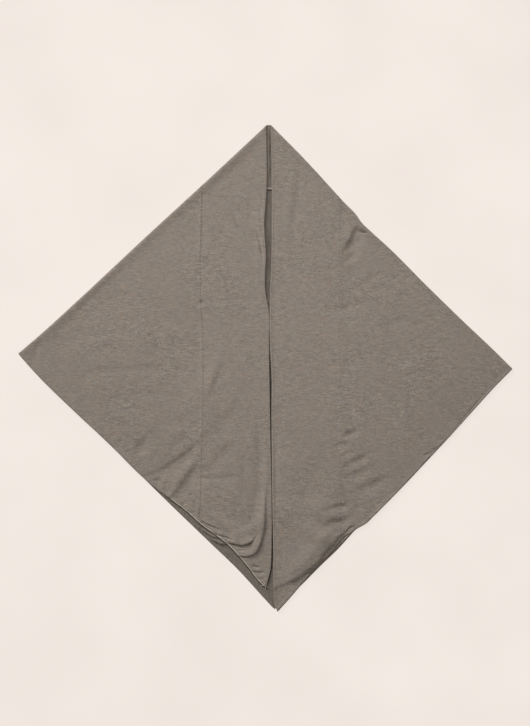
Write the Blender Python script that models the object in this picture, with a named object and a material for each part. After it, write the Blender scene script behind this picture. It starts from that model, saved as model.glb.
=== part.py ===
"""Jersey hijab, laid flat with both long corners folded down to its point.

The garment is one right-angled triangle of light knitted jersey: a main panel, and a
band sewn along its longest edge. It lies on a table. Each acute corner is folded down to
the right-angled corner, so that the cloth lies as a diamond: a back layer, and two flaps
that meet down the middle.

Two frames are used, both in metres.
The cut:   u runs along the longest edge from its middle, v runs in from that edge.
The table: X to the right, Y from the point to the apex, Z up, with the cloth on Z = 0.
"""

import math
from typing import NamedTuple

import bmesh
import bpy
import numpy as np
from mathutils.geometry import delaunay_2d_cdt

# The cut
HALF_LONG_EDGE = 0.900
BAND_WIDTH = 0.1245
SEAM_GAP = 0.0003

# The cloth: its wall, the air between its layers, how high a flap lofts between its edges,
# and how far in from an edge the loft, the creases and the roll at a fold take to settle
WALL = 0.0012
LAYER_GAP = 0.0006
LOFT = 0.0045
LOFT_REACH = 0.030
CREASE_REACH = 0.009
ROLL_REACH = 0.014

# Where the folded cloth's corners lie on the table, one value for each side
LEFT, RIGHT = 0, 1
SIDE_SIGN = (-1.0, 1.0)
HALF_APEX = 0.0042
APEX = ((0.0024, 0.4522), (0.0108, 0.4522))
CORNER = ((-0.4590, 0.0275), (0.4596, -0.0007))
FLAP_TIP = ((0.0015, -0.4085), (0.0229, -0.4523))
BACK_TIP = ((0.0135, -0.4443), (0.0219, -0.4443))

# Spacing of the mesh's points
EDGE_STEP = 0.014
FOLD_STEP = 0.018
CREASE_STEP = 0.009
FLAP_STEP = 0.020
BACK_STEP = 0.065
# How far to each side of a point the cloth's slope is measured
SLOPE_STEP = 0.0004
# Lines of points along each fold, by distance from it: back layer below 0, flap above 0
FOLD_LINES = (-0.012, -0.0036, -0.0018, 0.0, 0.0018, 0.0036, 0.010, 0.020)

# Finish
CLOTH_ROUGHNESS = 0.9
MAIN_COLOUR = (0.238, 0.202, 0.172, 1.0)
BAND_COLOUR = (0.245, 0.208, 0.178, 1.0)


class Row(NamedTuple):
    """A value at a place along a line."""

    along: float
    value: float


class Gap(NamedTuple):
    """The opening between the two flaps' inner edges, at a height on the table."""

    y: float
    middle: float
    width: float


class Crease(NamedTuple):
    """A soft line pressed into a flap, or raised on it, between two places on the table."""

    x0: float
    y0: float
    x1: float
    y1: float
    bow: float
    height: float
    width: float


# How far each edge lies outside the straight line between its corners
FOLD_BOW = (
    (Row(0.0, 0.0), Row(0.2, -0.001), Row(0.5, -0.001), Row(0.75, -0.0023), Row(0.9, -0.002), Row(1.0, 0.0)),
    (Row(0.0, 0.0), Row(0.15, -0.0005), Row(0.25, -0.003), Row(0.31, -0.0047), Row(0.42, -0.0059),
     Row(0.50, -0.0045), Row(0.64, -0.0047), Row(0.8, -0.003), Row(0.92, -0.0005), Row(1.0, 0.0)),
)
BACK_HEM_BOW = (
    (Row(0.0, 0.0), Row(0.06, 0.0025), Row(0.22, 0.0021), Row(0.35, 0.0), Row(0.6, -0.0012),
     Row(0.75, -0.003), Row(0.86, -0.0043), Row(0.95, -0.0015), Row(1.0, 0.0)),
    (Row(0.0, 0.0), Row(0.1, -0.001), Row(0.25, 0.004), Row(0.37, 0.0065), Row(0.5, 0.0088),
     Row(0.61, 0.0074), Row(0.66, 0.004), Row(0.82, 0.0026), Row(0.92, 0.003), Row(1.0, 0.0)),
)
FLAP_HEM_BOW = (
    (Row(0.0, 0.0), Row(0.06, 0.0037), Row(0.25, 0.0063), Row(0.38, 0.0056), Row(0.5, 0.0079),
     Row(0.56, 0.0065), Row(0.63, 0.0015), Row(0.72, -0.0042), Row(0.83, -0.01),
     Row(0.92, -0.0056), Row(1.0, 0.0)),
    (Row(0.0, 0.0), Row(0.08, -0.0003), Row(0.17, 0.0015), Row(0.27, 0.0038), Row(0.38, 0.0051),
     Row(0.46, 0.005), Row(0.53, 0.002), Row(0.61, 0.001), Row(0.66, -0.003), Row(0.75, -0.0025),
     Row(0.85, -0.0045), Row(0.95, -0.001), Row(1.0, 0.0)),
)
# Radius of the roll of cloth at each fold, from the apex to the corner
ROLL = (
    (Row(0.0, 0.0017), Row(0.2, 0.0023), Row(0.45, 0.002), Row(0.7, 0.0024), Row(0.9, 0.002),
     Row(1.0, 0.0014)),
    (Row(0.0, 0.0016), Row(0.25, 0.002), Row(0.38, 0.0027), Row(0.5, 0.002), Row(0.75, 0.0023),
     Row(1.0, 0.0014)),
)
# How far the seam lies nearer to the long edge than its cut, from the left flap's end to the right's
SEAM_DRIFT = (
    Row(-0.78, 0.0), Row(-0.64, 0.004), Row(-0.52, 0.009), Row(-0.41, 0.009), Row(-0.3, 0.006),
    Row(-0.13, 0.008), Row(0.0, 0.008), Row(0.13, -0.002), Row(0.4, -0.002), Row(0.78, 0.0),
)
# The opening between the flaps, from the right flap's tip up to the apex
GAPS = (
    Gap(-0.4523, 0.0157, 0.0145), Gap(-0.440, 0.0105, 0.0145), Gap(-0.4085, 0.0087, 0.0145),
    Gap(-0.390, 0.0108, 0.0089), Gap(-0.373, 0.0125, 0.0048), Gap(-0.349, 0.0134, 0.0030),
    Gap(-0.319, 0.0134, 0.0011), Gap(-0.122, 0.0108, 0.0010), Gap(-0.077, 0.0104, 0.0019),
    Gap(-0.027, 0.0102, 0.0035), Gap(0.043, 0.0082, 0.0010), Gap(0.107, 0.0076, 0.0010),
    Gap(0.142, 0.0048, 0.0084), Gap(0.172, 0.0049, 0.0106), Gap(0.204, 0.0065, 0.0100),
    Gap(0.267, 0.0054, 0.0138), Gap(0.332, 0.0075, 0.0097), Gap(0.452, 0.0066, 0.0084),
)

# Creases of each flap: troughs have a height below 0, ridges above 0.
# The bow is to the left of the way from the first end to the second.
CREASES = (
    (
        # inside the corner and the fold
        Crease(-0.436, 0.023, -0.393, 0.086, 0.002, -0.0022, 0.007),
        Crease(-0.080, 0.239, -0.058, 0.317, 0.005, -0.0022, 0.007),
        # long arcs above the free hem
        Crease(-0.363, -0.022, -0.149, -0.007, 0.016, -0.0018, 0.008),
        Crease(-0.335, -0.062, -0.224, -0.040, 0.005, -0.0018, 0.008),
        Crease(-0.211, -0.115, -0.149, -0.094, 0.012, -0.0018, 0.007),
        Crease(-0.244, -0.155, -0.222, -0.129, 0.000, -0.0024, 0.007),
        # deep pulls from the seam down to the free hem
        Crease(-0.218, -0.196, -0.121, -0.126, -0.009, -0.0038, 0.007),
        Crease(-0.177, -0.221, -0.132, -0.165, 0.000, 0.0034, 0.008),
        Crease(-0.166, -0.235, -0.123, -0.161, -0.004, -0.0036, 0.006),
        # short pulls inside the seam
        Crease(-0.110, -0.053, -0.084, 0.006, 0.002, -0.0026, 0.007),
        Crease(-0.105, -0.137, -0.065, -0.070, 0.009, -0.0026, 0.008),
        # upright ones beside the inner edge
        Crease(-0.010, 0.328, -0.013, 0.174, -0.009, 0.0030, 0.008),
        Crease(-0.016, -0.118, -0.036, -0.297, 0.010, -0.0024, 0.007),
        Crease(-0.036, -0.152, -0.054, -0.282, 0.008, 0.0020, 0.008),
        Crease(-0.004, -0.133, -0.015, -0.290, 0.006, 0.0026, 0.007),
        # bends round the tip
        Crease(-0.106, -0.276, -0.021, -0.295, -0.015, 0.0034, 0.008),
        Crease(-0.119, -0.286, -0.021, -0.321, -0.018, -0.0036, 0.006),
        Crease(-0.051, -0.338, -0.006, -0.291, -0.018, 0.0026, 0.006),
        Crease(-0.038, -0.349, 0.001, -0.278, -0.020, -0.0034, 0.005),
    ),
    (
        # beside the fold and down from the apex
        Crease(0.044, 0.401, 0.111, 0.308, 0.009, -0.0022, 0.007),
        Crease(0.057, 0.365, 0.044, 0.254, 0.000, -0.0022, 0.007),
        # pucker where the seam meets the fold
        Crease(0.169, 0.269, 0.197, 0.252, 0.000, -0.0042, 0.007),
        Crease(0.141, 0.239, 0.161, 0.283, 0.001, 0.0032, 0.007),
        Crease(0.148, 0.220, 0.171, 0.257, 0.001, -0.0036, 0.006),
        Crease(0.122, 0.187, 0.167, 0.215, -0.002, -0.0022, 0.006),
        # pulls between the fold and the seam
        Crease(0.148, 0.155, 0.219, 0.217, -0.003, 0.0024, 0.009),
        Crease(0.145, 0.133, 0.223, 0.198, -0.003, -0.0032, 0.008),
        Crease(0.111, 0.110, 0.171, 0.124, -0.005, -0.0020, 0.006),
        Crease(0.204, 0.077, 0.290, 0.084, 0.011, -0.0018, 0.008),
        # puckers down the seam
        Crease(0.145, -0.131, 0.182, -0.118, -0.003, 0.0024, 0.006),
        Crease(0.147, -0.169, 0.187, -0.141, -0.003, 0.0026, 0.006),
        Crease(0.148, -0.192, 0.197, -0.165, -0.003, 0.0026, 0.006),
        Crease(0.158, -0.216, 0.214, -0.190, -0.003, 0.0026, 0.007),
        Crease(0.111, -0.247, 0.154, -0.228, -0.001, 0.0030, 0.007),
        Crease(0.115, -0.262, 0.154, -0.243, -0.003, -0.0040, 0.005),
        Crease(0.106, -0.278, 0.158, -0.260, 0.001, 0.0036, 0.006),
        Crease(0.106, -0.295, 0.156, -0.276, 0.004, -0.0040, 0.005),
        # along the free hem and beside the inner edge
        Crease(0.065, -0.368, 0.148, -0.293, -0.002, 0.0034, 0.009),
        Crease(0.048, -0.395, 0.163, -0.301, -0.004, -0.0038, 0.006),
        Crease(0.060, -0.403, 0.168, -0.309, -0.005, 0.0026, 0.004),
        Crease(0.292, -0.163, 0.325, -0.144, -0.003, -0.0024, 0.007),
        Crease(0.035, -0.208, 0.039, -0.375, 0.000, 0.0020, 0.009),
    ),
)


def read_curve(places, values, at):
    """Reads a smooth curve through the values given at some places, at an array of others."""
    places, values = np.array(places), np.array(values)
    slopes = np.gradient(values, places)
    at = np.clip(at, places[0], places[-1])
    start = np.clip(np.searchsorted(places, at) - 1, 0, len(places) - 2)
    width = places[start + 1] - places[start]
    t = (at - places[start]) / width
    return (
        values[start] * (1 + 2 * t) * (1 - t) ** 2
        + values[start + 1] * t ** 2 * (3 - 2 * t)
        + width * t * (1 - t) * (slopes[start] * (1 - t) - slopes[start + 1] * t)
    )


def read_rows(rows, at):
    """Reads the smooth curve through a table's rows at an array of places."""
    return read_curve([row.along for row in rows], [row.value for row in rows], at)


def outward(start, end, inside):
    """Unit direction square to an edge, away from a place inside the cloth."""
    along = np.subtract(end, start)
    square = np.array([along[1], -along[0]]) / math.hypot(*along)
    return -square if np.dot(np.subtract(inside, start), square) > 0 else square


def share(part, rest):
    """How far along an edge a point lies, from the weights of the edge's two ends."""
    return part / np.maximum(part + rest, 1e-6)


def crease_heights(creases, x, y):
    """Adds up the heights of a flap's creases at places on the table."""
    total = np.zeros_like(x)
    for crease in creases:
        along = np.array([crease.x1 - crease.x0, crease.y1 - crease.y0])
        length = math.hypot(*along)
        along = along / length
        t = ((x - crease.x0) * along[0] + (y - crease.y0) * along[1]) / length
        aside = (y - crease.y0) * along[0] - (x - crease.x0) * along[1]
        aside = aside - crease.bow * 4 * t * (1 - t)
        past_end = np.maximum(np.abs(t - 0.5) - 0.35, 0.0) * length / (0.15 * length + crease.width)
        total = total + crease.height * np.exp(-(aside / crease.width) ** 2 - 3 * past_end ** 2)
    return total


def weigh(across, v):
    """How near places of the cut are to their side's apex, corner and tip, as weights adding to 1."""
    reach = HALF_LONG_EDGE - HALF_APEX
    to_corner = 2 * np.minimum(across, v) / reach
    to_tip = np.abs(across - v) / reach
    return 1 - to_corner - to_tip, to_corner, to_tip


def inner_edge_pull(side, along):
    """How far a flap's inner edge lies in X from the straight line between its apex and its tip."""
    apex, tip = APEX[side], FLAP_TIP[side]
    y = apex[1] + along * (tip[1] - apex[1])
    heights = [gap.y for gap in GAPS]
    middle = read_curve(heights, [gap.middle for gap in GAPS], y)
    width = read_curve(heights, [gap.width for gap in GAPS], y)
    return middle + SIDE_SIGN[side] * width / 2 - (apex[0] + along * (tip[0] - apex[0]))


def spread_flat(side, weights, on_flap):
    """Places on the table of points of one side, with its bowed edges but no roll at the fold."""
    to_apex, to_corner, to_tip = weights
    tip = np.where(on_flap[:, None], FLAP_TIP[side], BACK_TIP[side])
    place = np.outer(to_apex, APEX[side]) + np.outer(to_corner, CORNER[side]) + to_tip[:, None] * tip

    fold_bow = read_rows(FOLD_BOW[side], share(to_corner, to_apex)) * (1 - to_tip) ** 2
    along_hem = share(to_tip, to_corner)
    flap_bow, back_bow = read_rows(FLAP_HEM_BOW[side], along_hem), read_rows(BACK_HEM_BOW[side], along_hem)
    hem_bow = np.where(on_flap, flap_bow, back_bow) * np.maximum(1 - to_apex, 0) ** 3
    place += np.outer(fold_bow, outward(APEX[side], CORNER[side], FLAP_TIP[side]))
    place += np.outer(hem_bow, outward(CORNER[side], FLAP_TIP[side], APEX[side]))

    pull = inner_edge_pull(side, share(to_tip, to_apex)) * np.maximum(1 - to_corner, 0) ** 4
    place[:, 0] += np.where(on_flap, pull, 0.0)
    return place


def ease_in(distance, reach):
    """Grows from 0 at an edge towards 1 at some distance in from it."""
    return 1 - np.exp(-(np.maximum(distance, 0.0) / reach) ** 2)


def flap_relief(side, place, from_fold, from_hem, from_middle):
    """Height of a flap's loft and creases above the flat layer, never below it."""
    inside = ease_in(from_fold, LOFT_REACH) * ease_in(from_hem, LOFT_REACH)
    loft = LOFT * inside * ease_in(from_middle, LOFT_REACH)
    creases = crease_heights(CREASES[side], place[:, 0], place[:, 1])
    return np.maximum(loft + creases * ease_in(from_fold, CREASE_REACH), 0.0)


def lay_side(side, across, v):
    """Lays one half of the folded cloth on the table, as the middle surface of its wall.

    across is the distance along the long edge from where this side's fold meets it, so the
    back layer has across < v and the flap has across > v.
    """
    weights = weigh(across, v)
    to_apex, to_corner, _ = weights
    place = spread_flat(side, weights, across > v)

    roll = read_rows(ROLL[side], share(to_corner, to_apex))
    from_fold = (across - v) / math.sqrt(2)
    turn = np.clip(from_fold / roll, -math.pi / 2, math.pi / 2)
    beyond = np.maximum(np.abs(from_fold) - roll * math.pi / 2, 0.0)
    inset = WALL / 2 + roll * (1 - np.cos(turn)) + beyond
    shift = (inset - np.abs(from_fold)) * (1 - ease_in(beyond, LOFT_REACH))
    place -= np.outer(shift, outward(APEX[side], CORNER[side], FLAP_TIP[side]))

    on_roll = WALL / 2 + roll * (1 + np.sin(turn))
    layer = WALL + LAYER_GAP
    settled = 2 * roll + (layer - 2 * roll) * ease_in(beyond, ROLL_REACH)
    from_hem = to_apex * (HALF_LONG_EDGE - HALF_APEX) / math.sqrt(2)
    on_flap = WALL / 2 + settled + flap_relief(side, place, beyond, from_hem, v)
    return np.column_stack([place, np.where(turn < math.pi / 2, on_roll, on_flap)])


def lay(u, v):
    """Lays points of the cut on the table, on the middle surface of the wall."""
    across = np.abs(u) - HALF_APEX
    mix = np.clip(0.5 + u / (2 * HALF_APEX), 0.0, 1.0)[:, None]
    return (1 - mix) * lay_side(LEFT, across, v) + mix * lay_side(RIGHT, across, v)


def wall_faces(u, v):
    """Outer and inner faces of the wall at points of the cut."""
    middle = lay(u, v)
    along_u = lay(u + SLOPE_STEP, v) - lay(u - SLOPE_STEP, v)
    along_v = lay(u, v + SLOPE_STEP) - lay(u, v - SLOPE_STEP)
    normal = np.cross(along_u, along_v)
    normal = normal / np.linalg.norm(normal, axis=1)[:, None]
    outer = middle + normal * WALL / 2
    inner = middle - normal * WALL / 2
    outer[:, 2] = np.maximum(outer[:, 2], 0.0)
    return outer, inner


def fill_in(stops, spacing):
    """Adds even steps of at most this spacing between the stops along a line."""
    filled = []
    for start, end in zip(stops, stops[1:]):
        count = max(1, math.ceil((end - start) / spacing - 0.01))
        filled.extend(start + (end - start) * i / count for i in range(count))
    return filled + [stops[-1]]


def seam_v(u):
    """Distance of the seam from the long edge at places along that edge."""
    return BAND_WIDTH - read_rows(SEAM_DRIFT, np.array(u))


def seam_crossing(sign, offset):
    """Where a fold line crosses the seam, found by stepping between the two lines."""
    v = BAND_WIDTH
    for _ in range(12):
        v = float(seam_v(sign * (HALF_APEX + v + offset * math.sqrt(2))))
    return v


def long_edge_line():
    """Points of the cut along its long edge, with a stop where each fold line crosses it."""
    crossings = [HALF_APEX + offset * math.sqrt(2) for offset in FOLD_LINES]
    positive = [u for u in crossings if u > 0.001] + [HALF_LONG_EDGE]
    stops = [-u for u in reversed(positive)] + positive
    return [(u, 0.0) for u in fill_in(stops, EDGE_STEP)]


def seam_line():
    """Points of the cut along the seam, with a stop where each fold line crosses it."""
    end = HALF_LONG_EDGE - BAND_WIDTH
    aside = [HALF_APEX + offset * math.sqrt(2) for offset in FOLD_LINES]
    left = [-(seam_crossing(-1, offset) + a) for offset, a in zip(FOLD_LINES, aside)]
    right = [seam_crossing(1, offset) + a for offset, a in zip(FOLD_LINES, aside)]
    return [(u, float(seam_v(u))) for u in fill_in([-end] + left[::-1] + right + [end], EDGE_STEP)]


def leg_line(sign):
    """Points of the cut down a leg, from an acute corner to the right-angled one."""
    crossings = [(HALF_LONG_EDGE + HALF_APEX + offset * math.sqrt(2)) / 2 for offset in FOLD_LINES]
    stops = [0.0] + crossings + [HALF_LONG_EDGE - BAND_WIDTH, HALF_LONG_EDGE]
    return [(sign * u, HALF_LONG_EDGE - u) for u in reversed(fill_in(stops, EDGE_STEP))]


def fold_line(sign, offset):
    """Points of the cut along a fold, at a distance from it, with a stop at the seam."""
    aside = HALF_APEX + offset * math.sqrt(2)
    stops = [max(0.0, -aside), seam_crossing(sign, offset), (HALF_LONG_EDGE - aside) / 2]
    return [(sign * (v + aside), v) for v in fill_in(stops, FOLD_STEP / math.sqrt(2))]


def crease_points():
    """Points of the cut along and beside every crease."""
    points = []
    for side, creases in enumerate(CREASES):
        apex, corner, tip = np.array(APEX[side]), np.array(CORNER[side]), np.array(FLAP_TIP[side])
        to_weights = np.linalg.inv(np.column_stack([corner - apex, tip - apex]))
        reach = HALF_LONG_EDGE - HALF_APEX
        for crease in creases:
            start, end = np.array([crease.x0, crease.y0]), np.array([crease.x1, crease.y1])
            length = np.linalg.norm(end - start)
            square = np.array([start[1] - end[1], end[0] - start[0]]) / length
            count = max(2, round(length / CREASE_STEP))
            for i in range(count + 1):
                t = i / count
                middle = start + (end - start) * t + square * crease.bow * 4 * t * (1 - t)
                for aside in (-1.1, 0.0, 1.1):
                    corner_weight, tip_weight = to_weights @ (middle + square * crease.width * aside - apex)
                    v = corner_weight * reach / 2
                    u = v + tip_weight * reach + HALF_APEX
                    points.append((SIDE_SIGN[side] * u, v))
    return points


def lattice(spacing):
    """A triangular lattice of points over the whole cut."""
    points = []
    rows = math.ceil(HALF_LONG_EDGE / (spacing * math.sqrt(0.75)))
    columns = math.ceil(HALF_LONG_EDGE / spacing)
    for row in range(rows):
        v = row * spacing * math.sqrt(0.75)
        shift = 0.5 * spacing * (row % 2)
        points.extend((column * spacing + shift, v) for column in range(-columns - 1, columns + 1))
    return points


def inner_points(fixed):
    """Chooses points inside the cut, each clear of the fixed ones, the edges and each other."""
    chosen = np.array(fixed)
    candidates = [(point, 0.62 * CREASE_STEP) for point in crease_points()]
    candidates += [(point, 0.62 * FLAP_STEP) for point in lattice(FLAP_STEP) if abs(point[0]) > point[1]]
    candidates += [(point, 0.5 * BACK_STEP) for point in lattice(BACK_STEP) if abs(point[0]) < point[1]]
    for (u, v), clearance in candidates:
        margin = min(clearance, 0.5 * EDGE_STEP)
        inside = v > margin and abs(v - seam_v(u)) > margin
        inside = inside and HALF_LONG_EDGE - abs(u) - v > margin * math.sqrt(2)
        if inside and np.min(np.hypot(chosen[:, 0] - u, chosen[:, 1] - v)) > clearance:
            chosen = np.vstack([chosen, (u, v)])
    return [tuple(point) for point in chosen[len(fixed):]]


def divide_cut():
    """Divides the whole cut into triangles, with edges along its outline, seam and folds."""
    lines = [long_edge_line(), seam_line(), leg_line(1), leg_line(-1)]
    lines += [fold_line(sign, offset) for sign in SIDE_SIGN for offset in FOLD_LINES]
    points = []
    edges = []
    for line in lines:
        edges += [(len(points) + i, len(points) + i + 1) for i in range(len(line) - 1)]
        points += line
    points += inner_points(points)
    flat, _, triangles = delaunay_2d_cdt(points, edges, [], 1, 1e-6)[:3]
    return np.array([tuple(point) for point in flat]), triangles


def close_rim(model, corners, split_low):
    """Closes one step of a wall's rim with two triangles, split alike on both sides of the seam."""
    first = 1 if split_low else 0
    corners = corners[first:] + corners[:first]
    model.faces.new([corners[0], corners[1], corners[2]])
    model.faces.new([corners[0], corners[2], corners[3]])


def make_panel(name, cut, triangles, toward, colour):
    """Makes one cut piece as a closed wall, laid and folded with the rest of the garment.

    toward is -1 for the piece on the long edge's side of the seam, and 1 for the other one.
    """
    centres = np.mean(cut[np.array(triangles)], axis=1)
    is_own = toward * (centres[:, 1] - seam_v(centres[:, 0])) > 0
    own = [triangle for triangle, keep in zip(triangles, is_own) if keep]
    used = sorted({i for triangle in own for i in triangle})
    u, v = cut[used].T
    on_seam = np.abs(v - seam_v(u)) < 1e-5
    outer, inner = wall_faces(u, v + np.where(on_seam, toward * SEAM_GAP / 2, 0.0))

    model = bmesh.new()
    outer_verts = dict(zip(used, [model.verts.new(place) for place in outer]))
    inner_verts = dict(zip(used, [model.verts.new(place) for place in inner]))
    sides = {(a, b) for t in own for a, b in zip(t, t[1:] + t[:1])}
    for triangle in own:
        model.faces.new([outer_verts[i] for i in triangle])
        model.faces.new([inner_verts[i] for i in reversed(triangle)])
    for a, b in sorted(sides):
        if (b, a) not in sides:
            close_rim(model, [outer_verts[b], outer_verts[a], inner_verts[a], inner_verts[b]], a < b)
    return add_object(name, model, colour)


def add_object(name, model, colour):
    """Turns a finished bmesh into a named object with its own material."""
    mesh = bpy.data.meshes.new(name)
    model.to_mesh(mesh)
    model.free()
    mesh.shade_smooth()
    mesh.set_sharp_from_angle(angle=math.radians(50))
    piece = bpy.data.objects.new(name, mesh)
    bpy.context.scene.collection.objects.link(piece)
    finish = bpy.data.materials.new(name)
    finish.use_nodes = True
    shader = finish.node_tree.nodes["Principled BSDF"]
    shader.inputs["Base Color"].default_value = colour
    shader.inputs["Roughness"].default_value = CLOTH_ROUGHNESS
    mesh.materials.append(finish)
    return piece


def main():
    """Clears the scene and makes the garment."""
    for old in list(bpy.data.objects):
        bpy.data.objects.remove(old)
    cut, triangles = divide_cut()
    make_panel("main_panel", cut, triangles, 1, MAIN_COLOUR)
    make_panel("band_panel", cut, triangles, -1, BAND_COLOUR)


main()
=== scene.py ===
"""Jersey hijab, laid flat with both long corners folded down to its point.

The cut is one right-angled triangle: a main panel with a band sewn along its longest edge.
Two frames are used. In the cut, u runs along the longest edge from its middle, and v in from
that edge. Within one half of it, across is the distance along that edge from the half's fold. On
the table, X is to the right, Y from the point to the apex and Z up. All are in metres, except
that creases are listed in millimetres on the table. Their places were read by eye as pixels, and
another program turned those into the millimetres listed here.
"""

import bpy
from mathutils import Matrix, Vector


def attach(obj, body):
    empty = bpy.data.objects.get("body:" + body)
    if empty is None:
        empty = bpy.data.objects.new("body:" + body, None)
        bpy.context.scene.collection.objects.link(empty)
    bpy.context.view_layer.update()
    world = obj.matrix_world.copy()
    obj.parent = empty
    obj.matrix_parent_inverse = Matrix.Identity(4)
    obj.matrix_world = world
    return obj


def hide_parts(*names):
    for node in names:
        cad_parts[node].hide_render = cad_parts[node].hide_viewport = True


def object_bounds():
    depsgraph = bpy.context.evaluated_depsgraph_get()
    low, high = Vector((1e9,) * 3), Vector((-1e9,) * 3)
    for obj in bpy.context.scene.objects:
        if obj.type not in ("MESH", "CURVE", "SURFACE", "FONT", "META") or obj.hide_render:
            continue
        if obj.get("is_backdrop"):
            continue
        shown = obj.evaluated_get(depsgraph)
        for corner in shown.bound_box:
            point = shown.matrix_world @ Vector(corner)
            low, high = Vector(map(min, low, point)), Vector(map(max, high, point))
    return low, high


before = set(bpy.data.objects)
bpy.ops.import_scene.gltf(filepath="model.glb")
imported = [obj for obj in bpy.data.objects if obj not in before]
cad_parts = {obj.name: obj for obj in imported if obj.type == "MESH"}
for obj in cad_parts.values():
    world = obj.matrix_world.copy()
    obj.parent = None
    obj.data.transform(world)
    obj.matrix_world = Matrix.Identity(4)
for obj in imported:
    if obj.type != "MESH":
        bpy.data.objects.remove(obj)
CAD_BOX = [list(corner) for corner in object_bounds()]

import logging
import math
from dataclasses import dataclass, field
from enum import Enum, auto
from typing import ClassVar

import bpy
import numpy as np
from mathutils.geometry import delaunay_2d_cdt

Array = np.ndarray
Spot = tuple[float, float]
Colour = tuple[float, float, float, float]
Triple = tuple[float, float, float]
LOG = logging.getLogger("hijab")
MM = 0.001
UP = np.array([0.0, 0.0, 1.0])


class Side(Enum):
    """The two halves of the folded cloth, with the sign of u and X on each."""

    LEFT = -1
    RIGHT = 1


class Panel(Enum):
    """The two cut pieces, with the direction in which each lies from the seam in v."""

    MAIN = 1
    BAND = -1


class Area(Enum):
    """The areas of the cut that are divided more or less finely."""

    FLAP = auto()
    SHOWN_BACK = auto()
    HIDDEN_BACK = auto()


@dataclass(frozen=True)
class Curve:
    """A smooth curve through values at rising places."""

    places: tuple[float, ...]
    values: tuple[float, ...]

    def read(self, at: Array) -> Array:
        """Reads the curve.

        Args:
            at: The places to read it at.

        Returns:
            The curve's value at each place.
        """
        places, values = np.array(self.places), np.array(self.values)
        slopes = np.gradient(values, places)
        at = np.clip(at, places[0], places[-1])
        start = np.clip(np.searchsorted(places, at) - 1, 0, len(places) - 2)
        width = places[start + 1] - places[start]
        t = (at - places[start]) / width
        rise = values[start] * (1 + 2 * t) * (1 - t) ** 2 + values[start + 1] * t**2 * (3 - 2 * t)
        return rise + width * t * (1 - t) * (slopes[start] * (1 - t) - slopes[start + 1] * t)


@dataclass(frozen=True)
class Crease:
    """A soft uneven trough, or a ridge where its height is above 0, in millimetres.

    One that leans has a gentle side, on the left of its path where the lean is above 0, and a
    steep side whose middle lies on the path.
    """

    height: float
    width: float
    lean: float
    spots: tuple[Spot, ...]
    reach: ClassVar[float] = 3.2
    fading: ClassVar[float] = 0.3
    points_a_spot: ClassVar[int] = 5
    end_height: ClassVar[float] = 0.25
    end_width: ClassVar[float] = 0.6
    unevenness: ClassVar[float] = 0.16
    uneven_length: ClassVar[float] = 0.007

    @classmethod
    def rows(cls, *rows: tuple) -> "tuple[Crease, ...]":
        """Makes creases from rows of a height, a width, a lean and the spots on the path."""
        return tuple(cls(height, width, lean, tuple(spots)) for height, width, lean, *spots in rows)

    @property
    def steep(self) -> float:
        """Returns the width of the steeper side."""
        return self.width * (1 - abs(self.lean))

    def path(self) -> Array:
        """Draws a smooth line through the crease's spots.

        Returns:
            Points along the line, in metres.
        """
        spots = np.array(self.spots, float) * MM
        along = np.concatenate([[0.0], np.cumsum(np.linalg.norm(np.diff(spots, axis=0), axis=1))])
        at = np.linspace(0.0, along[-1], max(2, self.points_a_spot * len(spots)))
        columns = [Curve(tuple(along), tuple(spots[:, axis])).read(at) for axis in (0, 1)]
        return np.column_stack(columns)

    def raise_cloth(self, x: Array, y: Array) -> Array:
        """Finds how high the crease lifts the cloth.

        Args:
            x, y: Places on the table.

        Returns:
            The height at each place, below 0 in a trough.
        """
        line = self.path()
        reach = self.reach * self.width * MM * (1 + abs(self.lean))
        low, high = line.min(axis=0) - reach, line.max(axis=0) + reach
        near = np.flatnonzero((x > low[0]) & (x < high[0]) & (y > low[1]) & (y < high[1]))
        total = np.zeros_like(x)
        if not len(near):
            return total
        place = np.column_stack([x[near], y[near]])
        starts, steps = line[:-1], np.diff(line, axis=0)
        lengths = np.linalg.norm(steps, axis=1)
        before = np.concatenate([[0.0], np.cumsum(lengths)[:-1]])
        away = place[:, None, :] - starts[None, :, :]
        t = np.clip(np.einsum("psk,sk->ps", away, steps) / lengths**2, 0.0, 1.0)
        apart = away - t[:, :, None] * steps[None, :, :]
        distance = np.linalg.norm(apart, axis=2)
        nearest = np.argmin(distance, axis=1)
        rows = np.arange(len(place))
        along = (before[nearest] + t[rows, nearest] * lengths[nearest]) / lengths.sum()
        step, away = steps[nearest], away[rows, nearest]
        turn = step[:, 0] * away[:, 1] - step[:, 1] * away[:, 0]
        apart = distance[rows, nearest]
        aside = np.where((along <= 0) | (along >= 1), turn / lengths[nearest], np.sign(turn) * apart)
        beyond = np.sqrt(np.maximum(apart**2 - aside**2, 0.0))
        steep, gentle = self.steep * MM, self.width * MM * (1 + abs(self.lean))
        offset = math.sqrt(0.5) * steep if self.lean else 0.0
        from_middle = aside * math.copysign(1.0, self.lean) - offset
        fade = np.clip(np.minimum(along, 1 - along) / self.fading, 0.0, 1.0)
        taper = self.end_height + (1 - self.end_height) * fade * fade * (3 - 2 * fade)
        wave = np.sin(along * lengths.sum() / self.uneven_length + self.spots[0][0])
        uneven = 1 + self.unevenness * wave
        width = np.where(from_middle > 0, gentle, steep) * (self.end_width + (1 - self.end_width) * taper)
        profile = np.exp(-((from_middle / width) ** 2) - (beyond / (self.width * MM)) ** 2)
        total[near] = self.height * MM * taper * uneven * profile
        return total


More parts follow.
